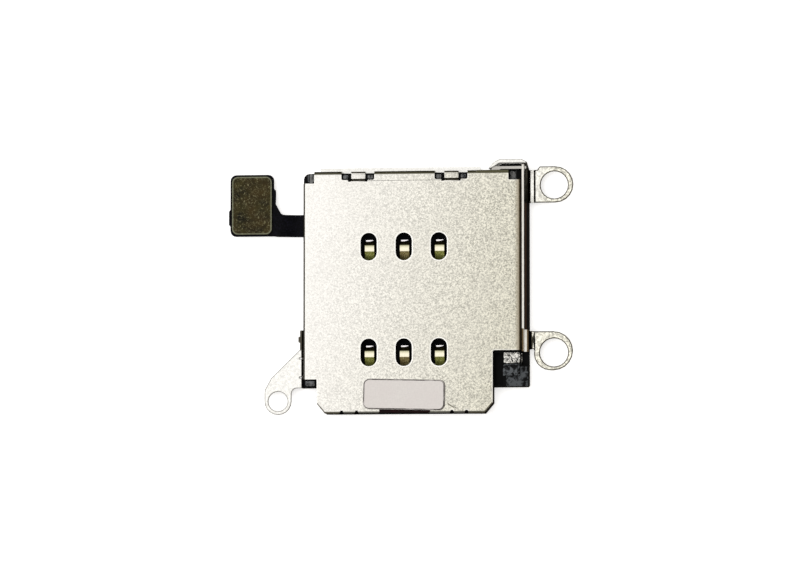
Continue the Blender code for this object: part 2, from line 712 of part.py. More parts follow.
def bracket_outline():
    """Return the flat outline of the bracket with its three ears, anticlockwise."""
    left = -PLATE_LEFT
    right = BLOCK_RIGHT
    rim = TONGUE_FRONT - 0.16 * MM
    arm = right + FRONT_JOGGLE_END + 0.15 * MM
    step = right + REAR_STEP_END
    fold = left - LEFT_JOGGLE_END - 0.02 * MM
    middle = (STRIP_BACK + STRIP_FRONT) / 2
    return rounded([
        (-TONGUE_LEFT + 0.10 * MM, -rim + TONGUE_CHAMFER_Y, 0.0),
        (-TONGUE_LEFT + 0.10 * MM + TONGUE_CHAMFER_X, -rim, 0.0),
        (TONGUE_RIGHT - 0.10 * MM - TONGUE_CHAMFER_X, -rim, 0.0),
        (TONGUE_RIGHT - 0.10 * MM, -rim + TONGUE_CHAMFER_Y, 0.0),
        (TONGUE_RIGHT - 0.10 * MM, -BLOCK_FRONT, 0.10 * MM),
        (right, -BLOCK_FRONT, 0.15 * MM),
        (right, FRONT_EAR_Y + 0.14 * MM, 0.0),
        (arm, FRONT_EAR_Y + 0.14 * MM, 0.15 * MM),
        (FRONT_EAR_X - FRONT_EAR_R, FRONT_EAR_Y - 0.20 * MM, 0.10 * MM),
        (FRONT_EAR_X - FRONT_EAR_R, FRONT_EAR_Y - FRONT_EAR_R, FRONT_EAR_R * 0.85),
        (FRONT_EAR_X + FRONT_EAR_R, FRONT_EAR_Y - FRONT_EAR_R, FRONT_EAR_R),
        (FRONT_EAR_X + FRONT_EAR_R, FRONT_EAR_Y + FRONT_EAR_R, FRONT_EAR_R),
        (arm, FRONT_EAR_Y + FRONT_EAR_R, 0.10 * MM),
        (right, FRONT_EAR_Y + FRONT_EAR_R + 0.08 * MM, 0.0),
        (right, REAR_EAR_Y - REAR_EAR_R, 0.0),
        (REAR_EAR_X + REAR_EAR_R, REAR_EAR_Y - REAR_EAR_R, REAR_EAR_R),
        (REAR_EAR_X + REAR_EAR_R, REAR_EAR_Y + REAR_EAR_R, REAR_EAR_R),
        (step + 0.26 * MM, REAR_EAR_Y + REAR_EAR_R, 0.15 * MM),
        (step + 0.10 * MM, REAR_EAR_Y + REAR_EAR_R - 0.25 * MM, 0.10 * MM),
        (right, REAR_EAR_Y + REAR_EAR_R - 0.25 * MM, 0.0),
        *reversed(guard_corners(PLATE_T / 2)),
        (FLANGE_RIGHT + 0.20 * MM, FLANGE_BACK - 0.30 * MM, 0.0),
        (FLANGE_RIGHT, FLANGE_BACK, 0.05 * MM),
        (-FLANGE_LEFT, FLANGE_BACK, 0.05 * MM),
        (-FLANGE_LEFT, PLATE_BACK, 0.05 * MM),
        (left, PLATE_BACK, 0.45 * MM),
        (left, STRIP_BACK, 0.0),
        (fold, STRIP_BACK - 0.05 * MM, 0.0),
        (fold, middle + 0.23 * MM, 0.0),
        (fold - STRIP_NUB, middle + 0.18 * MM, 0.03 * MM),
        (fold - STRIP_NUB, middle - 0.18 * MM, 0.03 * MM),
        (fold, middle - 0.23 * MM, 0.0),
        (fold, STRIP_FRONT, 0.05 * MM),
        (LEFT_EAR_X - LEFT_SHOULDER_IN, LEFT_EAR_Y + LEFT_SHOULDER_UP, LEFT_SHOULDER_R),
        (LEFT_EAR_X - LEFT_EAR_R, LEFT_EAR_Y + LEFT_SHOULDER_LOW, LEFT_SHOULDER_R),
        (LEFT_EAR_X - LEFT_EAR_R, LEFT_EAR_Y - LEFT_EAR_R, LEFT_EAR_R),
        (LEFT_EAR_X + LEFT_EAR_R, LEFT_EAR_Y - LEFT_EAR_R, LEFT_EAR_R),
        (LEFT_EAR_X + LEFT_EAR_R, -RAIL_FRONT, 0.40 * MM),
        (left, -RAIL_FRONT, 0.0),
        (-TONGUE_LEFT + 0.10 * MM, -RAIL_FRONT, 0.10 * MM),
    ])


def ear_height(x, y):
    """Return how far the bracket's sheet is raised at a point."""
    if x < 0:
        return EAR_RISE * joggle(-x - PLATE_LEFT, LEFT_JOGGLE_START, LEFT_JOGGLE_END)
    past = x - BLOCK_RIGHT
    if y > 0:
        slope = (EAR_RISE - REAR_STEP_H) * joggle(past, REAR_RISE_START, REAR_RISE_END)
        return slope + REAR_STEP_H * joggle(past, REAR_STEP_START, REAR_STEP_END)
    return EAR_RISE * joggle(past, FRONT_JOGGLE_START, FRONT_JOGGLE_END)


def make_bracket(material):
    """Model the bracket: one stamping with joggled ears, a rear flange and an upright guard."""
    holes = [
        circle(REAR_EAR_X - REAR_HOLE_OFF, REAR_EAR_Y - REAR_HOLE_LOW, REAR_EAR_HOLE_R),
        circle(FRONT_EAR_X + FRONT_HOLE_OFF, FRONT_EAR_Y - FRONT_HOLE_LOW, FRONT_EAR_HOLE_R),
        circle(LEFT_EAR_X, LEFT_EAR_Y, LEFT_EAR_HOLE_R),
    ]
    holes += [circle(x, y, STUD_R + STUD_CLEARANCE, 16) for x, y in STUD_PLACES]
    nick_x = -PLATE_LEFT - LEFT_JOGGLE_END
    holes += [circle(nick_x, y, FOLD_NICK_R, 8) for y in FOLD_NICKS]
    bm = flat_sheet([bracket_outline()] + holes, 0.0)
    lines = spaced(REAR_RISE_START, REAR_RISE_END, 4) + spaced(REAR_STEP_START, REAR_STEP_END, 3)
    lines += spaced(FRONT_JOGGLE_START, FRONT_JOGGLE_END, 4)
    places = [BLOCK_RIGHT + value for value in lines]
    places += [-PLATE_LEFT - value for value in spaced(LEFT_JOGGLE_START, LEFT_JOGGLE_END, 4)]
    for x in places:
        cut_line(bm, (x, 0.0, 0.0), (1.0, 0.0, 0.0))
    for vert in bm.verts:
        vert.co.z = ear_height(vert.co.x, vert.co.y)
    bracket = sheet_part("base_bracket", bm, PLATE_T, 1.0, material)
    wall = rounded(guard_corners(0.0) + list(reversed(guard_corners(PLATE_T))), 4)
    guard = prism("guard_wall", [wall], LAYER_GAP, GUARD_H)
    combine(bracket, guard, "UNION")
    end = [(GUARD_RIGHT + 0.06 * MM, GUARD_BACK - GUARD_LIP_W, 0.0)]
    inner = list(reversed(guard_corners(GUARD_LIP_W)))[2:]
    lip = prism("guard_lip", [rounded(guard_corners(0.0) + end + inner, 4)], GUARD_H - GUARD_LIP_T, GUARD_H)
    combine(bracket, lip, "UNION")
    return bracket


# Housing


def housing_outline():
    """Return the plan outline of the moulded housing, anticlockwise."""
    wall = COVER_T + LAYER_GAP
    front = TONGUE_FRONT + HOUSING_PROUD
    inset = 0.03 * MM
    post_gap = 0.03 * MM
    left_post_front = COVER_BACK - LEFT_CORNER_Y + post_gap
    right_post_front = COVER_BACK - RIGHT_CORNER_Y + post_gap
    lever_yard_left = BACK_WALL_END + 0.55 * MM
    return rounded([
        (-TONGUE_LEFT, -front + TONGUE_CHAMFER_Y, 0.0),
        (-TONGUE_LEFT + TONGUE_CHAMFER_X, -front, 0.0),
        (TONGUE_RIGHT - TONGUE_CHAMFER_X, -front, 0.0),
        (TONGUE_RIGHT, -front + TONGUE_CHAMFER_Y, 0.0),
        (TONGUE_RIGHT, -BLOCK_FRONT, 0.05 * MM),
        (BLOCK_RIGHT, -BLOCK_FRONT, 0.12 * MM),
        (BLOCK_RIGHT, LEDGE_BACK, 0.10 * MM),
        (COVER_RIGHT - wall, LEDGE_BACK, 0.0),
        (COVER_RIGHT - wall, right_post_front, 0.0),
        (COVER_RIGHT - inset, right_post_front, 0.0),
        (COVER_RIGHT - inset, GUARD_BACK - 0.30 * MM, 0.0),
        (GUARD_LEFT + 0.60 * MM, GUARD_BACK - 0.30 * MM, 0.0),
        (lever_yard_left, COVER_BACK - wall, 0.0),
        (-COVER_LEFT + LEFT_CORNER_X - inset, COVER_BACK - wall, 0.0),
        (-COVER_LEFT + inset, COVER_BACK - wall, 0.42 * MM),
        (-COVER_LEFT + inset, left_post_front, 0.0),
        (-COVER_LEFT + wall, left_post_front, 0.0),
        (-COVER_LEFT + wall, -LEFT_WALL_FRONT - SIDE_GAP, 0.0),
        (-COVER_LEFT, -LEFT_WALL_FRONT - SIDE_GAP, 0.0),
        (-COVER_LEFT, -RAIL_FRONT, 0.05 * MM),
        (-TONGUE_LEFT, -RAIL_FRONT, 0.0),
    ], 4)


def make_housing(material):
    """Model the moulding: card space, contact slots, posts, ejector yard and side block."""
    housing = prism("housing", [housing_outline()], Z_HOUSING, Z_RAIL, material)
    cut_card_space(housing)
    cut_ejector_room(housing)
    cut_side_block(housing)
    add_posts(housing)
    return housing


def cut_card_space(housing):
    """Cut the room for the card, the contact slots, the latch seats and the switch pocket."""
    above = Z_COVER + CLEAR_OUT
    card_space = prism("card_space_cutter", [rounded([
        (-CARD_SPACE_LEFT, -TONGUE_FRONT - CLEAR_OUT, 0.0),
        (CARD_SPACE_RIGHT, -TONGUE_FRONT - CLEAR_OUT, 0.0),
        (CARD_SPACE_RIGHT, CARD_SPACE_BACK, 0.0),
        (-CARD_SPACE_LEFT + CARD_CORNER, CARD_SPACE_BACK, 0.0),
        (-CARD_SPACE_LEFT, CARD_SPACE_BACK - CARD_CORNER, 0.30 * MM),
    ])], Z_FLOOR, above)
    combine(housing, card_space)

    mouth = -TONGUE_FRONT - HOUSING_PROUD
    chamfer = prism("mouth_chamfer_cutter", [[
        (mouth - MOUTH_CHAMFER, Z_FLOOR - 2 * MOUTH_CHAMFER),
        (mouth + 2 * MOUTH_CHAMFER, Z_FLOOR + MOUTH_CHAMFER),
        (mouth - MOUTH_CHAMFER, Z_FLOOR + MOUTH_CHAMFER),
    ]], -CARD_SPACE_LEFT, CARD_SPACE_RIGHT)
    chamfer.data.transform(STAND_ON_EDGE)
    combine(housing, chamfer)

    for index, (x, y) in enumerate(contact_places(), 1):
        slot = block(
            f"contact_slot_cutter_{index}",
            (x - CONTACT_SLOT_W / 2, x + CONTACT_SLOT_W / 2),
            (y - CONTACT_ROOT - CONTACT_TAIL - 0.12 * MM, y + CONTACT_SLOT_BACK),
            (0.0, Z_FLOOR + 0.10 * MM),
        )
        combine(housing, slot)

    for index, centre in enumerate(LATCH_CENTRES, 1):
        seat = block(
            f"latch_seat_cutter_{index}",
            (centre - LATCH_W / 2 - SIDE_GAP, centre + LATCH_W / 2 + SIDE_GAP),
            (COVER_BACK - LATCH_NOTCH_D - LATCH_RELIEF_D - 0.10 * MM, COVER_BACK + CLEAR_OUT / 2),
            (Z_CEILING - LATCH_DROP - 0.08 * MM, above),
        )
        combine(housing, seat)

    pocket = block(
        "switch_pocket_cutter",
        (CARD_SPACE_RIGHT - CLEAR_OUT / 2, CARD_SPACE_RIGHT + SWITCH_ROOT_X + SWITCH_POCKET_W),
        (SWITCH_ROOT_Y - SWITCH_LENGTH - SWITCH_STUB, SWITCH_ROOT_Y + SWITCH_STUB + 2 * SWITCH_CLEARANCE),
        (Z_FLOOR, above),
    )
    combine(housing, pocket)


def cut_ejector_room(housing):
    """Cut the yard for the lever, the pin's bore and the way of the push rod."""
    above = Z_COVER + CLEAR_OUT
    yard_front = PIVOT_Y - LEVER_HUB_R - 0.25 * MM
    yard = prism("lever_yard_cutter", [rounded([
        (CARD_SPACE_RIGHT - 0.30 * MM, yard_front, 0.0),
        (PIVOT_X + LEVER_HUB_R + 0.20 * MM, yard_front, 0.20 * MM),
        (COVER_RIGHT + CLEAR_OUT / 2, COVER_BACK - RIGHT_CORNER_Y - 0.75 * MM, 0.0),
        (COVER_RIGHT + CLEAR_OUT / 2, GUARD_BACK, 0.0),
        (BACK_WALL_END + 0.20 * MM, GUARD_BACK, 0.0),
        (BACK_WALL_END + 0.20 * MM, CARD_SPACE_BACK - 0.30 * MM, 0.0),
    ])], Z_YARD, above)
    combine(housing, yard)

    pin_bore = prism("pin_bore_cutter", [circle(PIVOT_X, PIVOT_Y, PIN_R + PIN_CLEARANCE, 16)], 0.0, above)
    combine(housing, pin_bore)
    pad_left = PIVOT_X + SLIDE_PAD_OUT
    pad_back = COVER_BACK - SIDE_GAP
    slide_pad = prism("slide_pad", [rounded([
        (pad_left, pad_back - SLIDE_PAD_L, 0.0),
        (pad_left + SLIDE_PAD_W, pad_back - SLIDE_PAD_L, 0.0),
        (pad_left + SLIDE_PAD_W, pad_back, SLIDE_PAD_W * 0.45),
        (pad_left, pad_back, SLIDE_PAD_W * 0.45),
    ])], Z_YARD - SIDE_GAP, Z_LEVER - SIDE_GAP)
    combine(housing, slide_pad, "UNION")

    rod_way = block(
        "rod_way_cutter",
        (COVER_RIGHT - COVER_T - LAYER_GAP, ROD_RIGHT + SIDE_GAP),
        (-RIGHT_WALL_FRONT - SIDE_GAP, LEDGE_BACK + SIDE_GAP),
        (Z_FLOOR, above),
    )
    combine(housing, rod_way)
    foot_way = block(
        "rod_foot_way_cutter",
        (ROD_LEFT - SIDE_GAP, BLOCK_RIGHT + CLEAR_OUT),
        (-ROD_FRONT - ROD_TRAVEL - 0.15 * MM, -ROD_FRONT + ROD_FOOT_L + SIDE_GAP),
        (Z_FLOOR, above),
    )
    combine(housing, foot_way)
    guide_top = block(
        "guide_top_cutter",
        (ROD_RIGHT, BLOCK_RIGHT + CLEAR_OUT),
        (-RIGHT_WALL_FRONT, LEDGE_BACK + CLEAR_OUT),
        (Z_FLOOR + GUIDE_H, above),
    )
    combine(housing, guide_top)


def cut_side_block(housing):
    """Cut the block beside the card mouth down to its shelf and raise what stands on it."""
    above = Z_COVER + CLEAR_OUT
    side_room = block(
        "block_shelf_cutter",
        (TONGUE_RIGHT + 0.04 * MM, BLOCK_RIGHT + CLEAR_OUT),
        (-BLOCK_FRONT - CLEAR_OUT, -RIGHT_WALL_FRONT - SIDE_GAP + 0.02 * MM),
        (Z_SHELF, above),
    )
    combine(housing, side_room)
    trench_left = TONGUE_RIGHT + BLOCK_MARGIN
    trench = block(
        "block_trench_cutter",
        (trench_left, trench_left + BLOCK_TRENCH_W),
        (-BLOCK_FRONT + 0.14 * MM, -RIGHT_WALL_FRONT - 0.20 * MM),
        (Z_SHELF - TRENCH_DEPTH, above),
    )
    combine(housing, trench)
    boss_left = trench_left + BLOCK_TRENCH_W + 0.03 * MM
    boss_back = -RIGHT_WALL_FRONT - TERMINAL_PAD_L - 0.20 * MM
    boss_front = boss_back - BLOCK_BOSS_L
    boss = block(
        "block_boss",
        (boss_left, boss_left + BLOCK_BOSS_W),
        (boss_front, boss_back),
        (Z_SHELF - 0.15 * MM, Z_SHELF + BLOCK_BOSS_H),
    )
    combine(housing, boss, "UNION")
    step_left = boss_left + BLOCK_BOSS_W + SIDE_GAP
    step = prism("block_step", [[
        (boss_left + 0.20 * MM, -BLOCK_FRONT + SIDE_GAP),
        (BLOCK_RIGHT - SIDE_GAP, -BLOCK_FRONT + SIDE_GAP),
        (BLOCK_RIGHT - SIDE_GAP, boss_back - 0.20 * MM),
        (step_left, boss_back - 0.20 * MM),
        (step_left, boss_front - SIDE_GAP),
        (boss_left + 0.20 * MM, boss_front - SIDE_GAP),
    ]], Z_SHELF - 0.10 * MM, Z_SHELF + BLOCK_STEP_H)
    combine(housing, step, "UNION")


def add_posts(housing):
    """Add the raised lobes, pads, nubs and studs that stand on the moulding."""
    above = Z_COVER + CLEAR_OUT
    lobe_right = -COVER_LEFT + LEFT_CORNER_X - SIDE_GAP
    lobe_front = COVER_BACK - LEFT_CORNER_Y + SIDE_GAP
    lobe = prism("post_lobe", [rectangle(
        lobe_right - POST_LOBE_W, lobe_right, lobe_front, lobe_front + POST_LOBE_L, 0.16 * MM,
    )], Z_RAIL - 0.20 * MM, Z_RAIL + POST_LOBE_H)
    combine(housing, lobe, "UNION")

    corner_room = block(
        "corner_block_cutter",
        (-COVER_LEFT - CLEAR_OUT, -TONGUE_LEFT - 0.02 * MM),
        (-RAIL_FRONT - CLEAR_OUT, -LEFT_WALL_FRONT),
        (Z_RAIL - CORNER_BLOCK_DROP, above),
    )
    combine(housing, corner_room)
    pad_x = -(COVER_LEFT + TONGUE_LEFT) / 2
    pad_y = -(LEFT_WALL_FRONT + RAIL_FRONT) / 2
    pad = prism("corner_pad", [rounded(box_corners(
        pad_x, pad_y, CORNER_PAD_W, CORNER_PAD_L, 0.04 * MM,
    ))], Z_RAIL - 2 * CORNER_BLOCK_DROP, Z_RAIL - LAYER_GAP)
    combine(housing, pad, "UNION")

    lump_y = COVER_BACK - COVER_T - LAYER_GAP - LATCH_LUMP_L
    lump_x = (LATCH_W / 2 + LATCH_NOTCH_W / 2) / 2 + SIDE_GAP
    for index, x in enumerate([c + side * lump_x for c in LATCH_CENTRES for side in (-1, 1)], 1):
        lump = prism(f"latch_lump_{index}", [rounded(box_corners(
            x, lump_y, LATCH_LUMP_W, LATCH_LUMP_L, 0.08 * MM,
        ))], Z_RAIL - 0.15 * MM, Z_RAIL + LATCH_LUMP_H)
        combine(housing, lump, "UNION")

    for index, (x_range, y_range, z_range) in enumerate(snap_places(SNAP_CLEARANCE), 1):
        combine(housing, block(f"snap_nub_{index}", x_range, y_range, z_range), "UNION")

    for index, (x, y) in enumerate(STUD_PLACES, 1):
        stud = prism(f"stud_{index}", [circle(x, y, STUD_R, 16)], STUD_INSET, Z_HOUSING + 0.05 * MM)
        combine(housing, stud, "UNION")


# Contacts


def make_contact(index, x, y, material):
    """Model one contact spring, with its origin on the line that it bends about."""
    crown = CONTACT_ROOT + CONTACT_CROWN_Y
    fall = crown + CONTACT_FALL
    corners = [
        (-CONTACT_TAIL, 0.0, 0.0),
        (0.0, 0.0, 0.30 * MM),
        (crown - CONTACT_CROWN_L, CONTACT_CROWN_H, 0.12 * MM),
        (crown, CONTACT_CROWN_H, 0.06 * MM),
        (fall, CONTACT_LIP_H, 0.05 * MM),
        (fall + CONTACT_LIP_L, CONTACT_LIP_H, 0.0),
    ]
    path = rounded(corners, 3)
    half_widths = [CONTACT_W / 2 if along < fall - FINE else CONTACT_LIP_W / 2 for along, _ in path]
    contact = strip_part(f"contact_{index}", path, half_widths, CONTACT_T, material)
    contact.location = (x, y - CONTACT_ROOT, Z_CONTACT)
    return contact


# Ejector


def lever_outline():
    """Return the lever's outline about its pivot, with the long arm turned to its photographed place."""
    lean = LEVER_TURN
    tip_low = LEVER_OFFSET - LEVER_TIP_W / 2
    tip_high = LEVER_OFFSET + LEVER_TIP_W / 2
    knee = LEVER_HUB_R + 0.12 * MM

    def swung(along, side):
        x = -along * math.cos(lean) + side * math.sin(lean)
        y = -along * math.sin(lean) - side * math.cos(lean)
        return x, y

    half = LEVER_LONG_W / 2
    return rounded([
        (*swung(LEVER_LONG_ARM, half), 0.10 * MM),
        (*swung(LEVER_HUB_R, half * 1.15), 0.30 * MM),
        (LEVER_HUB_R * 0.30, -LEVER_HUB_R, 0.25 * MM),
        (LEVER_HUB_R, -LEVER_HUB_R * 0.40, 0.25 * MM),
        (knee, LEVER_HUB_R, 0.30 * MM),
        (knee + 0.10 * MM, tip_low, 0.18 * MM),
        (LEVER_ARM + LEVER_TIP_REACH, tip_low, 0.06 * MM),
        (LEVER_ARM + LEVER_TIP_REACH, tip_high, 0.06 * MM),
        (knee - 0.40 * MM, tip_high, 0.20 * MM),
        (-LEVER_HUB_R * 0.10, LEVER_HUB_R * 1.20, 0.25 * MM),
        (*swung(LEVER_HUB_R * 1.10, -half * 1.15), 0.30 * MM),
        (*swung(LEVER_LONG_ARM, -LEVER_LONG_TIP / 2), 0.10 * MM),
    ], 4)


def make_lever(material):
    """Model the ejector lever with its origin on the pivot."""
    bore = circle(0.0, 0.0, PIN_R + PIN_CLEARANCE, 16)
    lever = prism("ejector_lever", [lever_outline(), bore], 0.0, LEVER_T, material)
    lever.location = (PIVOT_X, PIVOT_Y, Z_LEVER)
    return lever


def turned(name, profile, x, y, material):
    """Return a turned part from a profile that runs from the top of the axis to the bottom."""
    bm = bmesh.new()
    verts = [bm.verts.new((radius, 0.0, height)) for radius, height in profile]
    for first, second in zip(verts, verts[1:]):
        bm.edges.new((first, second))
    mesh = bpy.data.meshes.new(name)
    bm.to_mesh(mesh)
    bm.free()
    item = add_object(name, mesh, material)
    screw = item.modifiers.new("turn", "SCREW")
    screw.axis = "Z"
    screw.steps = 20
    screw.render_steps = 20
    screw.use_merge_vertices = True
    screw.merge_threshold = 0.000001
    item.location = (x, y, 0.0)
    return item


def make_pin(material):
    """Model the lever's pivot pin with a head above the lever and a collar below it."""
    foot = PLATE_T + LAYER_GAP
    lever_top = Z_LEVER + LEVER_T + LAYER_GAP
    collar_top = Z_LEVER - LAYER_GAP
    collar_base = Z_YARD + LAYER_GAP
    head_top = lever_top + PIN_HEAD_T
    return turned("lever_pin", [
        (0.0, head_top),
        (PIN_HEAD_R - 0.04 * MM, head_top),
        (PIN_HEAD_R, head_top - 0.04 * MM),
        (PIN_HEAD_R, lever_top),
        (PIN_R, lever_top),
        (PIN_R, collar_top),
        (PIN_HEAD_R, collar_top),
        (PIN_HEAD_R, collar_base),
        (PIN_R, collar_base),
        (PIN_R, foot),
        (0.0, foot),
    ], PIVOT_X, PIVOT_Y, material)


def make_rod(material):
    """Model the push rod: a strip on edge with a slot for the lever and a thicker foot."""
    bottom = Z_FLOOR + SIDE_GAP
    top = bottom + ROD_H
    side = rounded([
        (ROD_BACK, bottom, 0.10 * MM),
        (ROD_BACK, top, 0.12 * MM),
        (-ROD_FRONT, top, 0.04 * MM),
        (-ROD_FRONT, bottom, 0.04 * MM),
    ], 3)
    slot_low = Z_LEVER - SIDE_GAP
    slot_high = Z_LEVER + LEVER_T + SIDE_GAP
    slot = rectangle(TIP_Y - ROD_SLOT_L / 2, TIP_Y + ROD_SLOT_L / 2, slot_low, slot_high, 0.03 * MM)
    rod = prism("push_rod", [side, slot], 0.0, ROD_T, material)
    rod.data.transform(STAND_ON_EDGE)
    foot = block(
        "rod_foot",
        (ROD_T / 2, ROD_FOOT_T),
        (-ROD_FRONT - LAYER_GAP, -ROD_FRONT + ROD_FOOT_L),
        (bottom + LAYER_GAP, bottom + ROD_FOOT_H),
    )
    foot.location = (ROD_LEFT, 0.0, 0.0)
    combine(rod, foot, "UNION")
    rod.location = (ROD_LEFT, 0.0, 0.0)
    return rod


# Card-detect switch


def make_switch_spring(material):
    """Model the switch's moving blade, with its origin on the line that it bends about."""
    root = CARD_SPACE_RIGHT + SWITCH_ROOT_X
    reach = -SWITCH_BUMP - SWITCH_ROOT_X + LAYER_GAP
    path = rounded([
        (0.0, SWITCH_STUB, 0.0),
        (0.0, -SWITCH_STRAIGHT, SWITCH_BEND_R),
        (reach, -SWITCH_LENGTH * 0.62, SWITCH_BEND_R),
        (reach, -SWITCH_LENGTH * 0.78, SWITCH_BEND_R),
        (reach + SWITCH_CURL, -SWITCH_LENGTH, 0.0),
    ], 3)
    half = SWITCH_H / 2
    spring = strip_part("switch_spring", path, [half] * len(path), SWITCH_T, material, across="Z")
    spring.location = (root, SWITCH_ROOT_Y, Z_FLOOR + SWITCH_CLEARANCE + half)
    return spring


def make_switch_terminal(material):
    """Model the switch's fixed terminal with its tinned solder pad on the side block."""
    left = TONGUE_RIGHT + BLOCK_MARGIN + BLOCK_TRENCH_W + 0.06 * MM
    right = left + TERMINAL_PAD_W
    back = -RIGHT_WALL_FRONT - 0.13 * MM
    front = back - TERMINAL_PAD_L
    bottom = Z_SHELF + LAYER_GAP
    outline = rectangle(left, right, front, back, 0.08 * MM)
    terminal = prism("switch_terminal", [outline], bottom, bottom + TERMINAL_PLATE_T, material)
    fin = block(
        "terminal_fin",
        (right - TERMINAL_FIN_T / 2, right + TERMINAL_FIN_T / 2),
        (front + 0.12 * MM, back - 0.12 * MM),
        (bottom + LAYER_GAP, bottom + TERMINAL_FIN_H),
    )
    combine(terminal, fin, "UNION")
    return terminal


# Film circuit and connector


def flex_outline():
    """Return the flat outline of the film circuit, anticlockwise."""
    left = -FLEX_PAD_LEFT
    right = -FLEX_PAD_RIGHT
    under_left = -COVER_LEFT + COVER_T + 0.15 * MM
    under_right = BACK_WALL_END
    pad_front = FLEX_PAD_FRONT
    ear_right = right + FLEX_EAR_OUT
    ear_front = TAIL_BACK + FLEX_EAR_START
    ear_back = ear_front + FLEX_EAR_L
    tab_left = left - FLEX_TAB_OUT
    tab_front = TAIL_BACK - FLEX_TAB_START
    tab_back = tab_front + FLEX_TAB_L
    return rounded([
        (under_left, -LEFT_WALL_FRONT, FLEX_HEEL),
        (under_right, -LEFT_WALL_FRONT, FLEX_HEEL),
        (under_right, TAIL_BACK + FLEX_UNDER_REACH, FLEX_HEEL),
        (under_left, TAIL_BACK + FLEX_UNDER_REACH, FLEX_EDGE_R),
        (under_left, TAIL_BACK, FLEX_EDGE_R),
        (right + FLEX_FILLET, TAIL_BACK, FLEX_HEEL),
        (right + FLEX_SHOULDER_OUT, TAIL_BACK + FLEX_SHOULDER_UP, FLEX_EDGE_R * 2),
        (ear_right, ear_front, FLEX_EDGE_R),
        (ear_right, ear_back, FLEX_EDGE_R),
        (right, ear_back + FLEX_SLANT, FLEX_EDGE_R),
        (right, FLEX_PAD_BACK, STIFFENER_R),
        (left, FLEX_PAD_BACK, STIFFENER_R),
        (left, tab_back + FLEX_SLANT, FLEX_EDGE_R),
        (tab_left, tab_back, FLEX_EDGE_R),
        (tab_left, tab_front, FLEX_EDGE_R),
        (left, tab_front - FLEX_SLANT, FLEX_EDGE_R),
        (left, pad_front, STIFFENER_R),
        (right, pad_front, 0.0),
        (right + FLEX_HEEL, TAIL_FRONT, FLEX_EDGE_R * 2),
        (under_left, TAIL_FRONT, FLEX_EDGE_R),
    ], 4)


def pad_height():
    """Return the height of the film's underside at the connector."""
    return CONNECTOR_H + LAYER_GAP


def make_flex(material):
    """Model the film: flat under the housing, rising in a gentle S to the connector."""
    under_back = TAIL_BACK + FLEX_UNDER_REACH
    studs = [(x, y) for x, y in STUD_PLACES if x < BACK_WALL_END and y < under_back]
    holes = [circle(x, y, STUD_R + STUD_CLEARANCE, 16) for x, y in studs]
    bm = flat_sheet([flex_outline()] + holes, 0.0)
    for out in spaced(FLEX_RISE_START, FLEX_RISE_END, 9):
        cut_line(bm, (-COVER_LEFT - out, 0.0, 0.0), (1.0, 0.0, 0.0))
    rise = pad_height() - Z_FLEX
    for vert in bm.verts:
        out = -vert.co.x - COVER_LEFT
        vert.co.z = Z_FLEX + rise * joggle(out, FLEX_RISE_START, FLEX_RISE_END)
    return sheet_part("flex_circuit", bm, FLEX_T, 1.0, material)


def make_stiffener(material):
    """Model the metal plate that backs the film over the connector."""
    bottom = pad_height() + FLEX_T + LAYER_GAP
    left = -FLEX_PAD_LEFT + STIFFENER_MARGIN
    right = -FLEX_PAD_RIGHT - STIFFENER_MARGIN
    front = FLEX_PAD_FRONT + STIFFENER_MARGIN
    back = FLEX_PAD_BACK - STIFFENER_MARGIN
    outline = rounded([
        (left, front, STIFFENER_R),
        (right, front, STIFFENER_R),
        (right, back, STIFFENER_R),
        (left, back, STIFFENER_R),
    ])
    plate = prism("stiffener", [outline], bottom, bottom + STIFFENER_T, material)
    soften(plate, 0.02 * MM)
    return plate


def soften(item, width, segments=2):
    """Round the sharp edges of a part with a Bevel modifier."""
    modifier = item.modifiers.new("edge", "BEVEL")
    modifier.width = width
    modifier.segments = segments
    modifier.limit_method = "ANGLE"
    modifier.angle_limit = math.radians(50)
    modifier.use_clamp_overlap = True


def connector_centre():
    """Return the centre of the connector under the stiffener."""
    x = -(FLEX_PAD_LEFT + FLEX_PAD_RIGHT) / 2
    y = (FLEX_PAD_FRONT + FLEX_PAD_BACK) / 2
    return x, y


def terminal_rows():
    """Return the place and the side (-1 or 1) of each terminal."""
    x, y = connector_centre()
    first = y - TERMINAL_PITCH * (TERMINAL_PAIRS - 1) / 2
    return [
        (x, first + TERMINAL_PITCH * index, side)
        for side in (-1, 1)
        for index in range(TERMINAL_PAIRS)
    ]


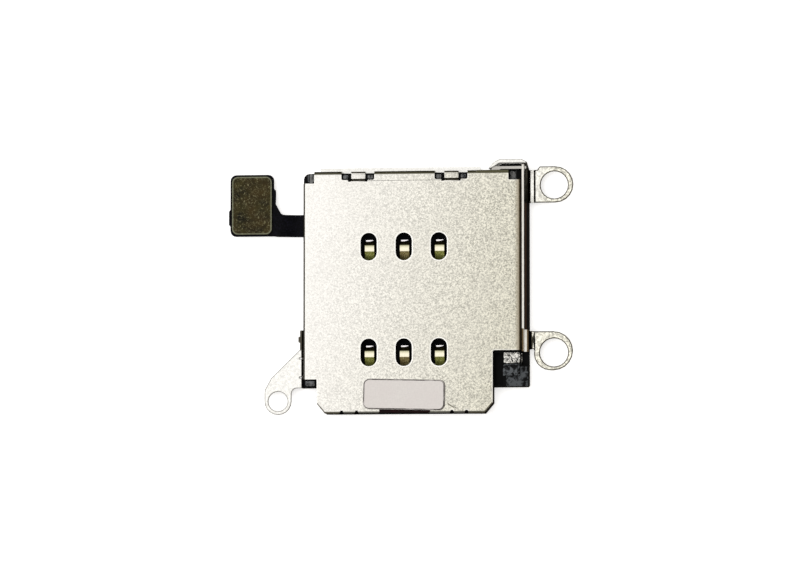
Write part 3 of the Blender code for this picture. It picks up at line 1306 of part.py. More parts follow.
def make_connector_housing(material):
    """Model the plug's insulator, open face down, with slots for its terminals."""
    x, y = connector_centre()
    outline = rectangle(x - CONNECTOR_W / 2, x + CONNECTOR_W / 2,
                        y - CONNECTOR_L / 2, y + CONNECTOR_L / 2, 0.12 * MM)
    body = prism("connector_housing", [outline], 0.0, CONNECTOR_H, material)
    groove = block(
        "connector_groove_cutter",
        (x - CONNECTOR_GROOVE_W / 2, x + CONNECTOR_GROOVE_W / 2),
        (y - CONNECTOR_L / 2 + HOLDDOWN_W + 0.15 * MM, y + CONNECTOR_L / 2 - HOLDDOWN_W - 0.15 * MM),
        (-CLEAR_OUT, CONNECTOR_GROOVE_D),
    )
    combine(body, groove)
    for index, (tx, ty, side) in enumerate(terminal_rows(), 1):
        reach = sorted((
            tx + side * (CONNECTOR_GROOVE_W / 2 - 0.02 * MM),
            tx + side * (CONNECTOR_W / 2 + 0.10 * MM),
        ))
        half = TERMINAL_W / 2 + LAYER_GAP
        slot = block(
            f"terminal_slot_cutter_{index}",
            (reach[0], reach[1]),
            (ty - half, ty + half),
            (0.06 * MM, CONNECTOR_H + 0.10 * MM),
        )
        combine(body, slot)
    for index, side in enumerate((-1, 1), 1):
        end = y + side * CONNECTOR_L / 2
        depth = sorted((end - side * HOLDDOWN_T - side * LAYER_GAP, end + side * 0.10 * MM))
        seat = block(
            f"holddown_seat_cutter_{index}",
            (x - CONNECTOR_W / 4 - LAYER_GAP, x + CONNECTOR_W / 4 + LAYER_GAP),
            (depth[0], depth[1]),
            (-CLEAR_OUT, CONNECTOR_H + 0.10 * MM),
        )
        combine(body, seat)
    return body


def make_terminal(index, x, y, side, material):
    """Model one terminal: a bow in the groove wall with a solder foot outside."""
    inner = CONNECTOR_GROOVE_W / 2 + TERMINAL_T
    outer = CONNECTOR_W / 2
    low = 0.06 * MM + LAYER_GAP + TERMINAL_T / 2
    high = CONNECTOR_H - TERMINAL_T / 2
    path = rounded([
        (inner, high - 0.10 * MM, 0.0),
        (inner, low, 0.06 * MM),
        (inner + 0.22 * MM, low, 0.06 * MM),
        (inner + 0.22 * MM, high, 0.06 * MM),
        (outer + 0.16 * MM, high, 0.0),
    ], 3)
    half = TERMINAL_W / 2
    bm = bmesh.new()
    rows = [
        [bm.verts.new((side * along, width, height)) for width in (-half, half)]
        for along, height in path
    ]
    for first, second in zip(rows, rows[1:]):
        bm.faces.new((first[0], first[1], second[1], second[0]))
    terminal = sheet_part(f"connector_terminal_{index}", bm, TERMINAL_T, 0.0, material)
    terminal.location = (x, y, 0.0)
    return terminal


def make_holddown(index, side, material):
    """Model one end clip of the connector."""
    x, y = connector_centre()
    end = y + side * CONNECTOR_L / 2
    depth = sorted((end, end - side * HOLDDOWN_T))
    return block(
        f"connector_holddown_{index}",
        (x - CONNECTOR_W / 4, x + CONNECTOR_W / 4),
        (depth[0], depth[1]),
        (0.0, CONNECTOR_H),
        material,
    )


# Adhesive pad


def make_pad(material):
    """Model the adhesive pad on the tongue, turned a little as it was laid."""
    centre_y = -TONGUE_FRONT + FINGER_NOTCH_D + PAD_L / 2 - PAD_OVERHANG
    outline = rectangle(-PAD_W / 2, PAD_W / 2, -PAD_L / 2, PAD_L / 2, PAD_R)
    pad = prism("adhesive_pad", [outline], 0.0, PAD_T, material)
    soften(pad, 0.02 * MM)
    pad.location = (0.01 * MM, centre_y, Z_COVER + LAYER_GAP / 2)
    pad.rotation_euler = (0.0, 0.0, math.radians(PAD_TURN_DEG))
    return pad


def shade(item):
    """Shade a part smooth, with its folds and corners kept sharp."""
    item.data.shade_smooth()
    item.data.set_sharp_from_angle(angle=math.radians(35))


def main():
    """Build the whole socket."""
    global parts, cutters
    clear_scene()
    parts = make_collection("sim_card_socket")
    cutters = make_collection("cutters")
    cover_steel = finish_material("cover_steel", (0.80, 0.79, 0.74), 0.35, 1.0)
    bracket_steel = finish_material("bracket_steel", (0.82, 0.81, 0.78), 0.25, 1.0)
    black_plastic = finish_material("black_plastic", (0.02, 0.02, 0.022), 0.45, 0.0)
    gold = finish_material("gold_plate", (0.83, 0.72, 0.45), 0.25, 1.0)
    rod_steel = finish_material("rod_steel", (0.55, 0.52, 0.48), 0.25, 1.0)
    tin = finish_material("tinned_solder", (0.72, 0.72, 0.70), 0.45, 1.0)
    film = finish_material("black_film", (0.015, 0.015, 0.02), 0.50, 0.0)
    stiff = finish_material("olive_plate", (0.16, 0.13, 0.07), 0.45, 1.0)
    plug = finish_material("plug_plastic", (0.03, 0.03, 0.03), 0.50, 0.0)
    liner = finish_material("pad_liner", (0.80, 0.76, 0.76), 0.60, 0.0)

    built = [
        make_cover(cover_steel),
        make_bracket(bracket_steel),
        make_housing(black_plastic),
        make_lever(rod_steel),
        make_pin(bracket_steel),
        make_rod(rod_steel),
        make_switch_spring(gold),
        make_switch_terminal(tin),
        make_flex(film),
        make_stiffener(stiff),
        make_connector_housing(plug),
        make_pad(liner),
    ]
    for index, (x, y) in enumerate(contact_places(), 1):
        built.append(make_contact(index, x, y, gold))
    for index, (x, y, side) in enumerate(terminal_rows(), 1):
        built.append(make_terminal(index, x, y, side, gold))
    for index, side in enumerate((-1, 1), 1):
        built.append(make_holddown(index, side, gold))
    for item in built:
        shade(item)


main()
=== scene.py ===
"""Dresses the card socket: plated sheet metal, black mouldings, gold springs and a film tail.

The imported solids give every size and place. This file softens their edges, adds the small
things that the solids leave out, and finishes each surface with node-based materials.
"""

import logging
import math
from collections.abc import Callable
from dataclasses import dataclass, field
from enum import Enum

import bmesh
import bpy
from mathutils import Matrix, Vector


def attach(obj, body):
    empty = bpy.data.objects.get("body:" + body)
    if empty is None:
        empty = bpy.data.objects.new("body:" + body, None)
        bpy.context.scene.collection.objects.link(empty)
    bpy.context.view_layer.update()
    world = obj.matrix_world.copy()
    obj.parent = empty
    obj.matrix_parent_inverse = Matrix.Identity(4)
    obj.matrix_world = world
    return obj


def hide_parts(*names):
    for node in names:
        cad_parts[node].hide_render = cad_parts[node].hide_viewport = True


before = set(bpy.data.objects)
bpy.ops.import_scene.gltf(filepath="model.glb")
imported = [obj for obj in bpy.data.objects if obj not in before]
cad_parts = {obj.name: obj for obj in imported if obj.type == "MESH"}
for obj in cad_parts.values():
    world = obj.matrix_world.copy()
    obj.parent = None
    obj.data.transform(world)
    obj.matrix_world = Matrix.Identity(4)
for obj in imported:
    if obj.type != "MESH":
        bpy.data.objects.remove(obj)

LOG = logging.getLogger("card_socket")
MM = 0.001
COLUMN_PITCH = 2.54 * MM
ROW_PITCH = 7.62 * MM
BODY = "socket"
Mesh = bmesh.types.BMesh
Face = bmesh.types.BMFace
Socket = bpy.types.NodeSocket
Tree = bpy.types.NodeTree
Node = bpy.types.Node
Material = bpy.types.Material
Piece = bpy.types.Object
Test = Callable[[Face], bool]
Triple = tuple[float, float, float]
Colour = Triple
Range = tuple[float, float]
Point = tuple[float, float]
FACE_MARKS = ("shade_and_glint", "rim_highlight", "sheen_and_rough", "rim")
FAR = math.inf
ANY = (-FAR, FAR)
NOISE_REACH = (0.3, 0.7)
SMOOTH_ANGLE = 40.0
SHARP_ANGLE = 35.0
BEVEL_SEGMENTS = 2


def scaled(colour: Colour, share: float) -> Colour:
    """Return a darker or lighter form of a colour."""
    return tuple(value * share for value in colour)


def within(value: float, reach: Range) -> bool:
    """Say whether a value lies inside a range."""
    return reach[0] < value < reach[1]


# Node helpers


class Graph:
    """Adds and links the nodes of one material or node group."""

    def __init__(self, tree: Tree) -> None:
        """Keep the tree that the nodes go into, and its shader if it has one."""
        self.tree = tree
        self.shader = tree.nodes.get("Principled BSDF")

    def add(self, kind: str, **settings: object) -> Node:
        """Add a node and set its properties.

        Args:
            kind: The node's type name, without the ShaderNode prefix.
            settings: Properties of the node by name.

        Returns:
            The new node.
        """
        node = self.tree.nodes.new("ShaderNode" + kind)
        for name, value in settings.items():
            setattr(node, name, value)
        return node

    def feed(self, socket: Socket, source: object) -> None:
        """Link an output to a socket, or set the socket's own value.

        Args:
            socket: The input to feed.
            source: An output socket, a number or a colour.
        """
        if isinstance(source, Socket):
            self.tree.links.new(source, socket)
        elif isinstance(source, (tuple, list)) and socket.type == "RGBA" and len(source) == 3:
            socket.default_value = (*source, 1.0)
        else:
            socket.default_value = source

    def give(self, label: str, source: object) -> None:
        """Feed one of the shader's inputs."""
        self.feed(self.shader.inputs[label], source)

    def math(self, operation: str, a: object, b: object = 0.0, clamp: bool = False) -> Socket:
        """Return the result of a Math node.

        Args:
            operation: The Math node's operation.
            a: First value.
            b: Second value.
            clamp: Whether the result stays between 0 and 1.

        Returns:
            The node's output.
        """
        node = self.add("Math", operation=operation, use_clamp=clamp)
        self.feed(node.inputs[0], a)
        self.feed(node.inputs[1], b)
        return node.outputs[0]

    def times(self, a: object, b: object) -> Socket:
        """Return the product of two values."""
        return self.math("MULTIPLY", a, b)

    def remap(self, value: object, source: Range, target: Range = (0.0, 1.0)) -> Socket:
        """Return a value moved from one range to another, held at its ends.

        Args:
            value: The value.
            source: The range that it comes in.
            target: The range that it goes out in.

        Returns:
            The node's output.
        """
        node = self.add("MapRange", clamp=True)
        for socket, item in zip(node.inputs, (value, *source, *target)):
            self.feed(socket, item)
        return node.outputs[0]

    def blend(self, share: object, first: object, second: object, mode: str = "MIX") -> Socket:
        """Return the mix of two colours.

        Args:
            share: How much of the second colour there is, from 0 to 1.
            first: First colour.
            second: Second colour.
            mode: The Mix node's blend type.

        Returns:
            The node's output.
        """
        node = self.add("Mix", data_type="RGBA", blend_type=mode)
        self.feed(node.inputs[0], share)
        self.feed(node.inputs[6], first)
        self.feed(node.inputs[7], second)
        return node.outputs[2]

    def place(self, scale: Triple = (1.0, 1.0, 1.0), turn: float = 0.0) -> Socket:
        """Return Object coordinates in millimetres, stretched and turned about +Z.

        Args:
            scale: Stretch along each axis.
            turn: Turn about +Z in degrees.

        Returns:
            The vector output.
        """
        source = self.add("TexCoord")
        mapping = self.add("Mapping")
        mapping.inputs["Rotation"].default_value = (0.0, 0.0, math.radians(turn))
        mapping.inputs["Scale"].default_value = [value / MM for value in scale]
        self.tree.links.new(source.outputs["Object"], mapping.inputs["Vector"])
        return mapping.outputs["Vector"]

    def noise(
        self, vector: object, scale: object, detail: float = 2.0, rough: float = 0.5, warp: float = 0.0,
    ) -> Socket:
        """Return the factor of a Noise texture.

        Args:
            vector: Where the texture is read.
            scale: Its scale, in cycles per millimetre.
            detail: Octaves.
            rough: Share of the finer octaves.
            warp: How far the pattern is pulled out of shape.

        Returns:
            The factor, from 0 to 1.
        """
        node = self.add("TexNoise")
        node.inputs["Distortion"].default_value = warp
        self.feed(node.inputs["Vector"], vector)
        self.feed(node.inputs["Scale"], scale)
        node.inputs["Detail"].default_value = detail
        node.inputs["Roughness"].default_value = rough
        return node.outputs[0]

    def axis(self, name: str) -> Socket:
        """Return one Object coordinate, X, Y or Z, in millimetres."""
        parts = self.add("SeparateXYZ")
        self.feed(parts.inputs[0], self.place())
        return parts.outputs[name]

    def mark(self, name: str) -> Socket:
        """Return a number that the mesh keeps under a name."""
        return self.add("Attribute", attribute_name=name).outputs["Fac"]

    def stroke(self, start: Point, end: Point, width: float) -> Socket:
        """Return a mask that is 1 on a straight scratch seen from above.

        Args:
            start: One end, X and Y in millimetres.
            end: The other end.
            width: Its width in millimetres.

        Returns:
            The mask.
        """
        run = (end[0] - start[0], end[1] - start[1])
        length = math.hypot(*run)
        across = self.math("SUBTRACT", self.axis("X"), start[0])
        up = self.math("SUBTRACT", self.axis("Y"), start[1])
        east, north = run[0] / length, run[1] / length
        along = self.math("ADD", self.times(across, east), self.times(up, north))
        aside = self.math("SUBTRACT", self.times(up, east), self.times(across, north))
        middle = self.math("ABSOLUTE", self.math("SUBTRACT", along, length / 2))
        inside = self.remap(middle, (length / 2, length / 2 + width), (1.0, 0.0))
        beside = self.remap(self.math("ABSOLUTE", aside), (width / 2, width), (1.0, 0.0))
        return self.times(inside, beside)

    def ramp(self, value: object, stops: tuple[tuple[float, Colour], ...]) -> Socket:
        """Return a colour that changes along a value.

        Args:
            value: The value.
            stops: Each place along it with its colour, in rising order.

        Returns:
            The colour output.
        """
        low, high = stops[0][0], stops[-1][0]
        node = self.add("ValToRGB")
        items = node.color_ramp.elements
        while len(items) < len(stops):
            items.new(1.0)
        for item, (place, colour) in zip(items, stops):
            item.position = (place - low) / (high - low)
            item.color = (*colour, 1.0)
        self.feed(node.inputs[0], self.remap(value, (low, high)))
        return node.outputs[0]

    def cells(self, vector: object, scale: object) -> Socket:
        """Return the distance of a Voronoi texture."""
        node = self.add("TexVoronoi")
        self.feed(node.inputs["Vector"], vector)
        self.feed(node.inputs["Scale"], scale)
        return node.outputs["Distance"]

    def group(self, tree: Tree, **values: float) -> Node:
        """Place a shared group with the finish's own values."""
        node = self.add("Group", node_tree=tree)
        for label, value in values.items():
            node.inputs[label].default_value = value
        return node

    def bump(self, height: object, distance: float) -> None:
        """Feed the shader's normal from a height, with the height's size in metres."""
        node = self.add("Bump")
        node.inputs["Strength"].default_value = 1.0
        node.inputs["Distance"].default_value = distance
        self.feed(node.inputs["Height"], height)
        self.give("Normal", node.outputs[0])


def blank(name: str) -> tuple[Material, Graph]:
    """Return a new material and the graph of its nodes."""
    material = bpy.data.materials.new(name)
    material.use_nodes = True
    return material, Graph(material.node_tree)


class SharedGroups:
    """The shader node groups that more than one finish uses, each built once."""

    def __init__(self) -> None:
        """Build every group."""
        self.grain = self._make_grain()
        self.scuffs = self._make_scuffs()
        self.dust = self._make_dust()

    @staticmethod
    def _start(
        name: str, inputs: dict[str, float], outputs: tuple[str, ...],
    ) -> tuple[Graph, Node, Node]:
        """Return a new group with its sockets, its input node and its output node."""
        tree = bpy.data.node_groups.new(name, "ShaderNodeTree")
        for label, value in inputs.items():
            socket = tree.interface.new_socket(label, in_out="INPUT", socket_type="NodeSocketFloat")
            socket.default_value = value
        for label in outputs:
            tree.interface.new_socket(label, in_out="OUTPUT", socket_type="NodeSocketFloat")
        entry = tree.nodes.new("NodeGroupInput")
        leave = tree.nodes.new("NodeGroupOutput")
        return Graph(tree), entry, leave

    def _make_grain(self) -> Tree:
        """Return the grain of plated sheet: fine cells on a slower mottle."""
        inputs = {"Fine": 4.6, "Coarse": 0.35}
        graph, entry, leave = self._start("sheet_grain", inputs, ("Fine", "Mottle"))
        spot = graph.place()
        fine = graph.noise(spot, entry.outputs["Fine"], 1.0, 0.6, 0.8)
        coarse = graph.noise(spot, entry.outputs["Coarse"], 3.0, 0.55)
        graph.feed(leave.inputs["Fine"], graph.remap(fine, (0.36, 0.64)))
        graph.feed(leave.inputs["Mottle"], graph.remap(coarse, NOISE_REACH))
        return graph.tree

    def _make_scuffs(self) -> Tree:
        """Return thin, sparse handling scratches in two directions."""
        graph, entry, leave = self._start("handling_scuffs", {"Density": 0.5}, ("Mask",))
        total = None
        for turn, stretch in ((24.0, 0.10), (-61.0, 0.14)):
            spot = graph.place((1.0, stretch, 1.0), turn)
            line = graph.remap(graph.noise(spot, 5.0, 1.0, 0.4), (0.495, 0.505))
            off_middle = graph.math("ABSOLUTE", graph.math("SUBTRACT", graph.times(line, 2.0), 1.0))
            edge = graph.math("SUBTRACT", 1.0, off_middle)
            patch = graph.noise(graph.place((1.0, 1.0, 1.0), turn * 2), 0.45, 2.0, 0.6)
            where = graph.remap(patch, (0.62, 0.72))
            piece = graph.times(edge, where)
            total = piece if total is None else graph.math("MAXIMUM", total, piece)
        graph.feed(leave.inputs["Mask"], graph.math("MULTIPLY", total, entry.outputs["Density"], True))
        return graph.tree

    def _make_dust(self) -> Tree:
        """Return pale specks that sit here and there on dark plastic and film."""
        graph, entry, leave = self._start("dust_specks", {"Scale": 9.0, "Size": 0.16}, ("Mask",))
        distance = graph.cells(graph.place(), entry.outputs["Scale"])
        speck = graph.math("LESS_THAN", distance, entry.outputs["Size"])
        patch = graph.remap(graph.noise(graph.place(), 1.3, 2.0, 0.6), (0.5, 0.66))
        graph.feed(leave.inputs["Mask"], graph.times(speck, patch))
        return graph.tree


GROUPS = SharedGroups()


@dataclass(frozen=True)
class Finish:
    """What every finish has: a name, a colour and how it shines."""

    name: str
    colour: Colour
    roughness: float
    metallic: float = 0.0

    def build(self) -> Material:
        """Return the material: the plain values first, then the finish's own nodes."""
        material, graph = blank(self.name)
        graph.give("Metallic", self.metallic)
        graph.give("Roughness", self.roughness)
        graph.give("Base Color", self.colour)
        self.coat(graph)
        return material

    def coat(self, graph: Graph) -> None:
        """Feed the shader from nodes, which each kind of finish does in its own way."""

    def vary_roughness(self, graph: Graph, value: object, less: float, more: float) -> None:
        """Let the roughness follow a noise, from a step below the finish's own to a step above."""
        reach = (self.roughness - less, self.roughness + more)
        graph.give("Roughness", graph.remap(value, NOISE_REACH, reach))


@dataclass(frozen=True)
class PlatedSheet(Finish):
    """Stamped and nickel-plated sheet metal with a fine grain; painted shade on its rounded edges and
    bends, painted highlights on its rims, and a painted light falloff towards the right.
    """

    metallic: float = 1.0
    tint: Colour = (0.42, 0.40, 0.35)
    fine: float = 4.6
    coarse: float = 0.3
    contrast: float = 0.12
    # Painted shade for rounded edges and marked faces; on the rod this colour is a painted highlight.
    edge: Colour = (0.11, 0.10, 0.07)
    shade_glint_share: float = 0.85
    relief: float = 0.0012
    scuff: float = 0.35
    # Painted light falloff: towards the right the colour turns to this darker one, and the grain is
    # calmer on the left where the light is brightest.
    right_shade: Colour | None = None
    reach: Range = (-7.3, 8.5)
    # Painted shade: dark bands along the bends and edges, each an axis, its range, its share and its
    # colour.
    bend_shades: tuple[tuple[str, Range, float, Colour], ...] = ()
    bend_shade_floor: Range = (1.25, 1.33)
    nicks: tuple[tuple[Point, Point], ...] = ()
    nick_width: float = 0.035
    nick_share: float = 0.8
    light_falloff_slope: float = -0.15
    cloud: float = 0.3
    calm: float = 0.3
    scuff_tone: Colour = (0.27, 0.26, 0.23)
    rim_highlight: Colour = (0.66, 0.65, 0.62)

    def coat(self, graph: Graph) -> None:
        """Feed the shader."""
        grain = graph.group(GROUPS.grain, Fine=self.fine, Coarse=self.coarse)
        scuffs = graph.group(GROUPS.scuffs, Density=self.scuff)
        fine, scratches = grain.outputs["Fine"], scuffs.outputs["Mask"]
        plain = self.colour
        # Painted light: lighter to the left and darker to the right, with the grain weaker on the lit
        # left.
        if self.right_shade is not None:
            light_falloff = graph.math("ADD", graph.axis("X"), graph.times(graph.axis("Y"), self.light_falloff_slope))
            plain = graph.blend(graph.remap(light_falloff, self.reach), self.colour, self.right_shade)
        swing = graph.times(graph.math("SUBTRACT", fine, 0.5), self.contrast * 2.0)
        clouds = graph.times(grain.outputs["Mottle"], self.cloud)
        if self.right_shade is not None:
            strength = graph.remap(light_falloff, self.reach, (self.calm, 1.0))
            swing = graph.times(swing, strength)
            clouds = graph.times(clouds, strength)
        speckled = graph.blend(1.0, plain, graph.math("ADD", swing, 1.0), "MULTIPLY")
        mottled = graph.blend(clouds, speckled, self.tint)
        marked = graph.blend(graph.times(scratches, 0.5), mottled, self.scuff_tone)
        for start, end in self.nicks:
            nick = graph.times(graph.stroke(start, end, self.nick_width), self.nick_share)
            marked = graph.blend(nick, marked, self.edge)
        # Painted highlight along the marked rims of the openings and edges.
        marked = graph.blend(graph.mark("rim_highlight"), marked, self.rim_highlight)
        upper = graph.remap(graph.axis("Z"), self.bend_shade_floor) if self.bend_shades else None
        for axis, reach, share, colour in self.bend_shades:
            shade_band = graph.times(graph.remap(graph.axis(axis), reach, (0.0, share)), upper)
            marked = graph.blend(shade_band, marked, colour)
        # Painted shade on the marked edges and faces, and a painted highlight on the rod's top.
        edge_painted = graph.blend(graph.times(graph.mark("shade_and_glint"), self.shade_glint_share), marked, self.edge)
        graph.give("Base Color", edge_painted)
        rough = graph.remap(fine, (0.0, 1.0), (self.roughness - 0.05, self.roughness + 0.06))
        graph.give("Roughness", graph.math("ADD", rough, graph.times(scratches, 0.15)))
        height = graph.math("SUBTRACT", fine, graph.times(scratches, 1.5))
        graph.bump(height, self.relief * MM)


@dataclass(frozen=True)
class Moulding(Finish):
    """Black glass-filled plastic: a fine matt skin; marked raised tops are painted paler, partly for
    their rough skin and partly as painted sheen.
    """

    speck: Colour = (0.06, 0.06, 0.065)
    pale: Colour = (0.105, 0.114, 0.124)
    grey_sheen_and_rough: Colour = (0.30, 0.30, 0.30)
    gloss: float = 0.04
    relief: float = 0.004
    speck_scale: float = 9.0
    brown_band: tuple[Range, Range, Range, Colour] | None = None

    def coat(self, graph: Graph) -> None:
        """Feed the shader."""
        graph.give("Specular IOR Level", self.gloss)
        spot = graph.place()
        skin = graph.noise(spot, 8.0, 4.0, 0.65)
        dust = graph.group(GROUPS.dust, Scale=self.speck_scale, Size=0.2)
        sheen = graph.remap(skin, (0.35, 0.7), (0.0, 0.6))
        base = graph.blend(sheen, self.colour, scaled(self.colour, 2.6))
        worn = graph.noise(spot, 2.6, 4.0, 0.72, 0.6)
        streaks = graph.noise(graph.place((1.0, 0.35, 1.0), 40.0), 4.5, 2.0, 0.6, 0.8)
        # Painted sheen: the marked raised tops are greyed, partly for their rough skin and partly for
        # the light that they catch.
        sheen_and_rough = graph.math("MINIMUM", graph.mark("sheen_and_rough"), 1.0)
        patch = graph.times(sheen_and_rough, graph.remap(worn, (0.46, 0.55), (0.02, 1.0)))
        greyed = graph.blend(patch, base, self.pale)
        bare = graph.remap(graph.mark("sheen_and_rough"), (1.0, 2.0))
        share = graph.times(bare, graph.remap(streaks, (0.42, 0.60), (0.08, 1.0)))
        grey_sheen_and_rough = graph.blend(share, greyed, self.grey_sheen_and_rough)
        # A brown band along the rail beside the rod, from about y -2.3 towards the back.
        if self.brown_band is not None:
            inner, outer, front, colour = self.brown_band
            left = graph.remap(graph.axis("X"), inner)
            across = graph.times(left, graph.remap(graph.axis("X"), outer, (1.0, 0.0)))
            brown_banded = graph.times(across, graph.remap(graph.axis("Y"), front))
            grey_sheen_and_rough = graph.blend(brown_banded, grey_sheen_and_rough, colour)
        dusty = graph.blend(graph.times(dust.outputs["Mask"], 0.5), grey_sheen_and_rough, self.speck)
        graph.give("Base Color", dusty)
        self.vary_roughness(graph, skin, 0.08, 0.12)
        graph.bump(skin, self.relief * MM)


@dataclass(frozen=True)
class SpringGold(Finish):
    """Gold-plated spring strip: a gold crown, a painted highlight on the lip, painted shade on the fall
    between and at the slope's root, and an olive slope.
    """

    metallic: float = 1.0
    slope: Colour = (0.34, 0.36, 0.075)
    fall_shade: Colour = (0.035, 0.028, 0.012)
    lip_highlight: Colour = (0.62, 0.60, 0.62)
    shoulder_shade: Colour = (0.36, 0.35, 0.24)
    spark: Colour = (0.60, 0.60, 0.28)

    def coat(self, graph: Graph) -> None:
        """Feed the shader."""
        drawn = graph.noise(graph.place((5.0, 0.6, 1.0)), 3.0, 3.0, 0.6)
        grit = graph.noise(graph.place(), 11.0, 3.0, 0.7)
        along = graph.mark("along")
        # Painted light along the spring: shade at the sloped root and on the fall, and a highlight on
        # the lip.
        bands = graph.ramp(along, (
            (-1.4, scaled(self.slope, 0.6)),
            (-0.36, self.slope),
            (-0.28, self.colour),
            (-0.08, self.colour),
            (0.08, self.shoulder_shade),
            (0.14, self.fall_shade),
            (0.40, self.fall_shade),
            (0.43, self.lip_highlight),
            (0.60, self.lip_highlight),
        ))
        on_slope = graph.remap(along, (-0.36, -0.29), (1.0, 0.12))
        streaks = graph.times(graph.remap(drawn, (0.35, 0.7), (0.0, 0.8)), on_slope)
        streaked = graph.blend(streaks, bands, scaled(self.slope, 0.35))
        sparks = graph.times(graph.remap(grit, (0.52, 0.72), (0.0, 0.9)), on_slope)
        graph.give("Base Color", graph.blend(sparks, streaked, self.spark))
        graph.give("Metallic", graph.remap(on_slope, (0.0, 1.0), (1.0, 0.6)))
        self.vary_roughness(graph, grit, 0.06, 0.14)
        graph.bump(graph.math("ADD", drawn, grit), 0.002 * MM)


@dataclass(frozen=True)
class PaddedLiner(Finish):
    """Pale woven adhesive pad with a soft nap and a patchy dark brown rim."""

    rim: Colour = (0.016, 0.009, 0.007)
    yellowed: Colour = (0.75, 0.70, 0.69)

    def coat(self, graph: Graph) -> None:
        """Feed the shader."""
        across = graph.noise(graph.place((1.0, 0.25, 1.0)), 14.0, 2.0, 0.5)
        along = graph.noise(graph.place((0.25, 1.0, 1.0)), 14.0, 2.0, 0.5)
        nap = graph.times(graph.math("ADD", across, along), 0.5)
        cloud = graph.noise(graph.place(), 0.8, 2.0, 0.5)
        woven = graph.remap(nap, (0.4, 0.6), (0.0, 0.7))
        tone = graph.blend(woven, scaled(self.colour, 0.9), self.colour)
        pale = graph.blend(graph.remap(cloud, (0.35, 0.7), (0.0, 0.5)), tone, self.yellowed)
        rim_patches = graph.remap(graph.noise(graph.place(), 1.4, 3.0, 0.6), (0.36, 0.50), (0.5, 1.0))
        dark_rim = graph.times(graph.mark("rim"), rim_patches)
        graph.give("Base Color", graph.blend(dark_rim, pale, self.rim))
        graph.bump(nap, 0.006 * MM)


@dataclass(frozen=True)
class MottledPlate(Finish):
    """Dark olive-brown stiffener plate: blotched lacquer with pale grit and a paler rim."""

    metallic: float = 0.7
    grit: Colour = (0.20, 0.185, 0.10)
    rim: Colour = (0.15, 0.155, 0.105)
    rust: Colour = (0.032, 0.020, 0.005)

    def coat(self, graph: Graph) -> None:
        """Feed the shader."""
        graph.give("Specular IOR Level", 0.2)
        cloud = graph.noise(graph.place(), 1.1, 5.0, 0.68)
        patch = graph.noise(graph.place((1.0, 1.0, 1.0), 35.0), 0.55, 2.0, 0.5)
        sand = graph.noise(graph.place(), 7.5, 2.0, 0.75, 0.8)
        dark = scaled(self.colour, 0.25)
        light = scaled(self.colour, 1.9)
        base = graph.blend(graph.remap(cloud, (0.36, 0.64)), dark, light)
        warm = graph.blend(graph.remap(patch, (0.45, 0.65), (0.0, 0.6)), base, self.rust)
        sandy = graph.blend(graph.remap(sand, (0.54, 0.70), (0.0, 0.7)), warm, self.grit)
        border = graph.times(graph.mark("rim"), graph.remap(sand, (0.35, 0.6), (0.45, 0.95)))
        graph.give("Base Color", graph.blend(border, sandy, self.rim))
        self.vary_roughness(graph, sand, 0.1, 0.15)
        graph.bump(graph.math("ADD", cloud, sand), 0.004 * MM)


@dataclass(frozen=True)
class FilmSkin(Finish):
    """Black cover film with a faint sheen, slight ripples and dust."""

    gloss: float = 0.03
    bloom: Colour = (0.013, 0.012, 0.022)
    speck: Colour = (0.05, 0.05, 0.075)

    def coat(self, graph: Graph) -> None:
        """Feed the shader."""
        graph.give("Specular IOR Level", self.gloss)
        ripple = graph.noise(graph.place((1.0, 3.0, 1.0)), 0.9, 3.0, 0.5)
        grit = graph.noise(graph.place(), 10.0, 3.0, 0.7)
        dust = graph.group(GROUPS.dust, Scale=7.0, Size=0.18)
        base = graph.blend(graph.remap(grit, (0.46, 0.68), (0.0, 0.6)), self.colour, self.bloom)
        dusty = graph.blend(graph.times(dust.outputs["Mask"], 0.5), base, self.speck)
        graph.give("Base Color", dusty)
        self.vary_roughness(graph, grit, 0.08, 0.12)
        graph.bump(graph.math("ADD", graph.times(ripple, 4.0), grit), 0.004 * MM)


@dataclass(frozen=True)
class TinSkin(Finish):
    """Rough tinned surface, pitted and silver-grey."""

    metallic: float = 1.0
    pit: Colour = (0.05, 0.05, 0.05)

    def coat(self, graph: Graph) -> None:
        """Feed the shader."""
        lumps = graph.noise(graph.place(), 5.0, 3.0, 0.7, 0.8)
        pits = graph.cells(graph.place(), 6.5)
        tone = graph.blend(graph.remap(lumps, (0.44, 0.56)), scaled(self.colour, 0.06), self.colour)
        pitted = graph.blend(graph.remap(pits, (0.0, 0.25), (0.55, 0.0)), tone, self.pit)
        graph.give("Base Color", pitted)
        self.vary_roughness(graph, lumps, 0.1, 0.2)
        graph.bump(graph.math("ADD", lumps, pits), 0.03 * MM)


@dataclass(frozen=True)
class GlueFilm(Finish):
    """Dark film of glue, uneven in tone, with a dull skin."""

    def coat(self, graph: Graph) -> None:
        """Feed the shader."""
        graph.give("Specular IOR Level", 0.05)
        pool = graph.noise(graph.place(), 2.2, 3.0, 0.6)
        tone = graph.blend(graph.remap(pool, (0.35, 0.65)), scaled(self.colour, 0.4), self.colour)
        graph.give("Base Color", tone)
        graph.bump(pool, 0.006 * MM)


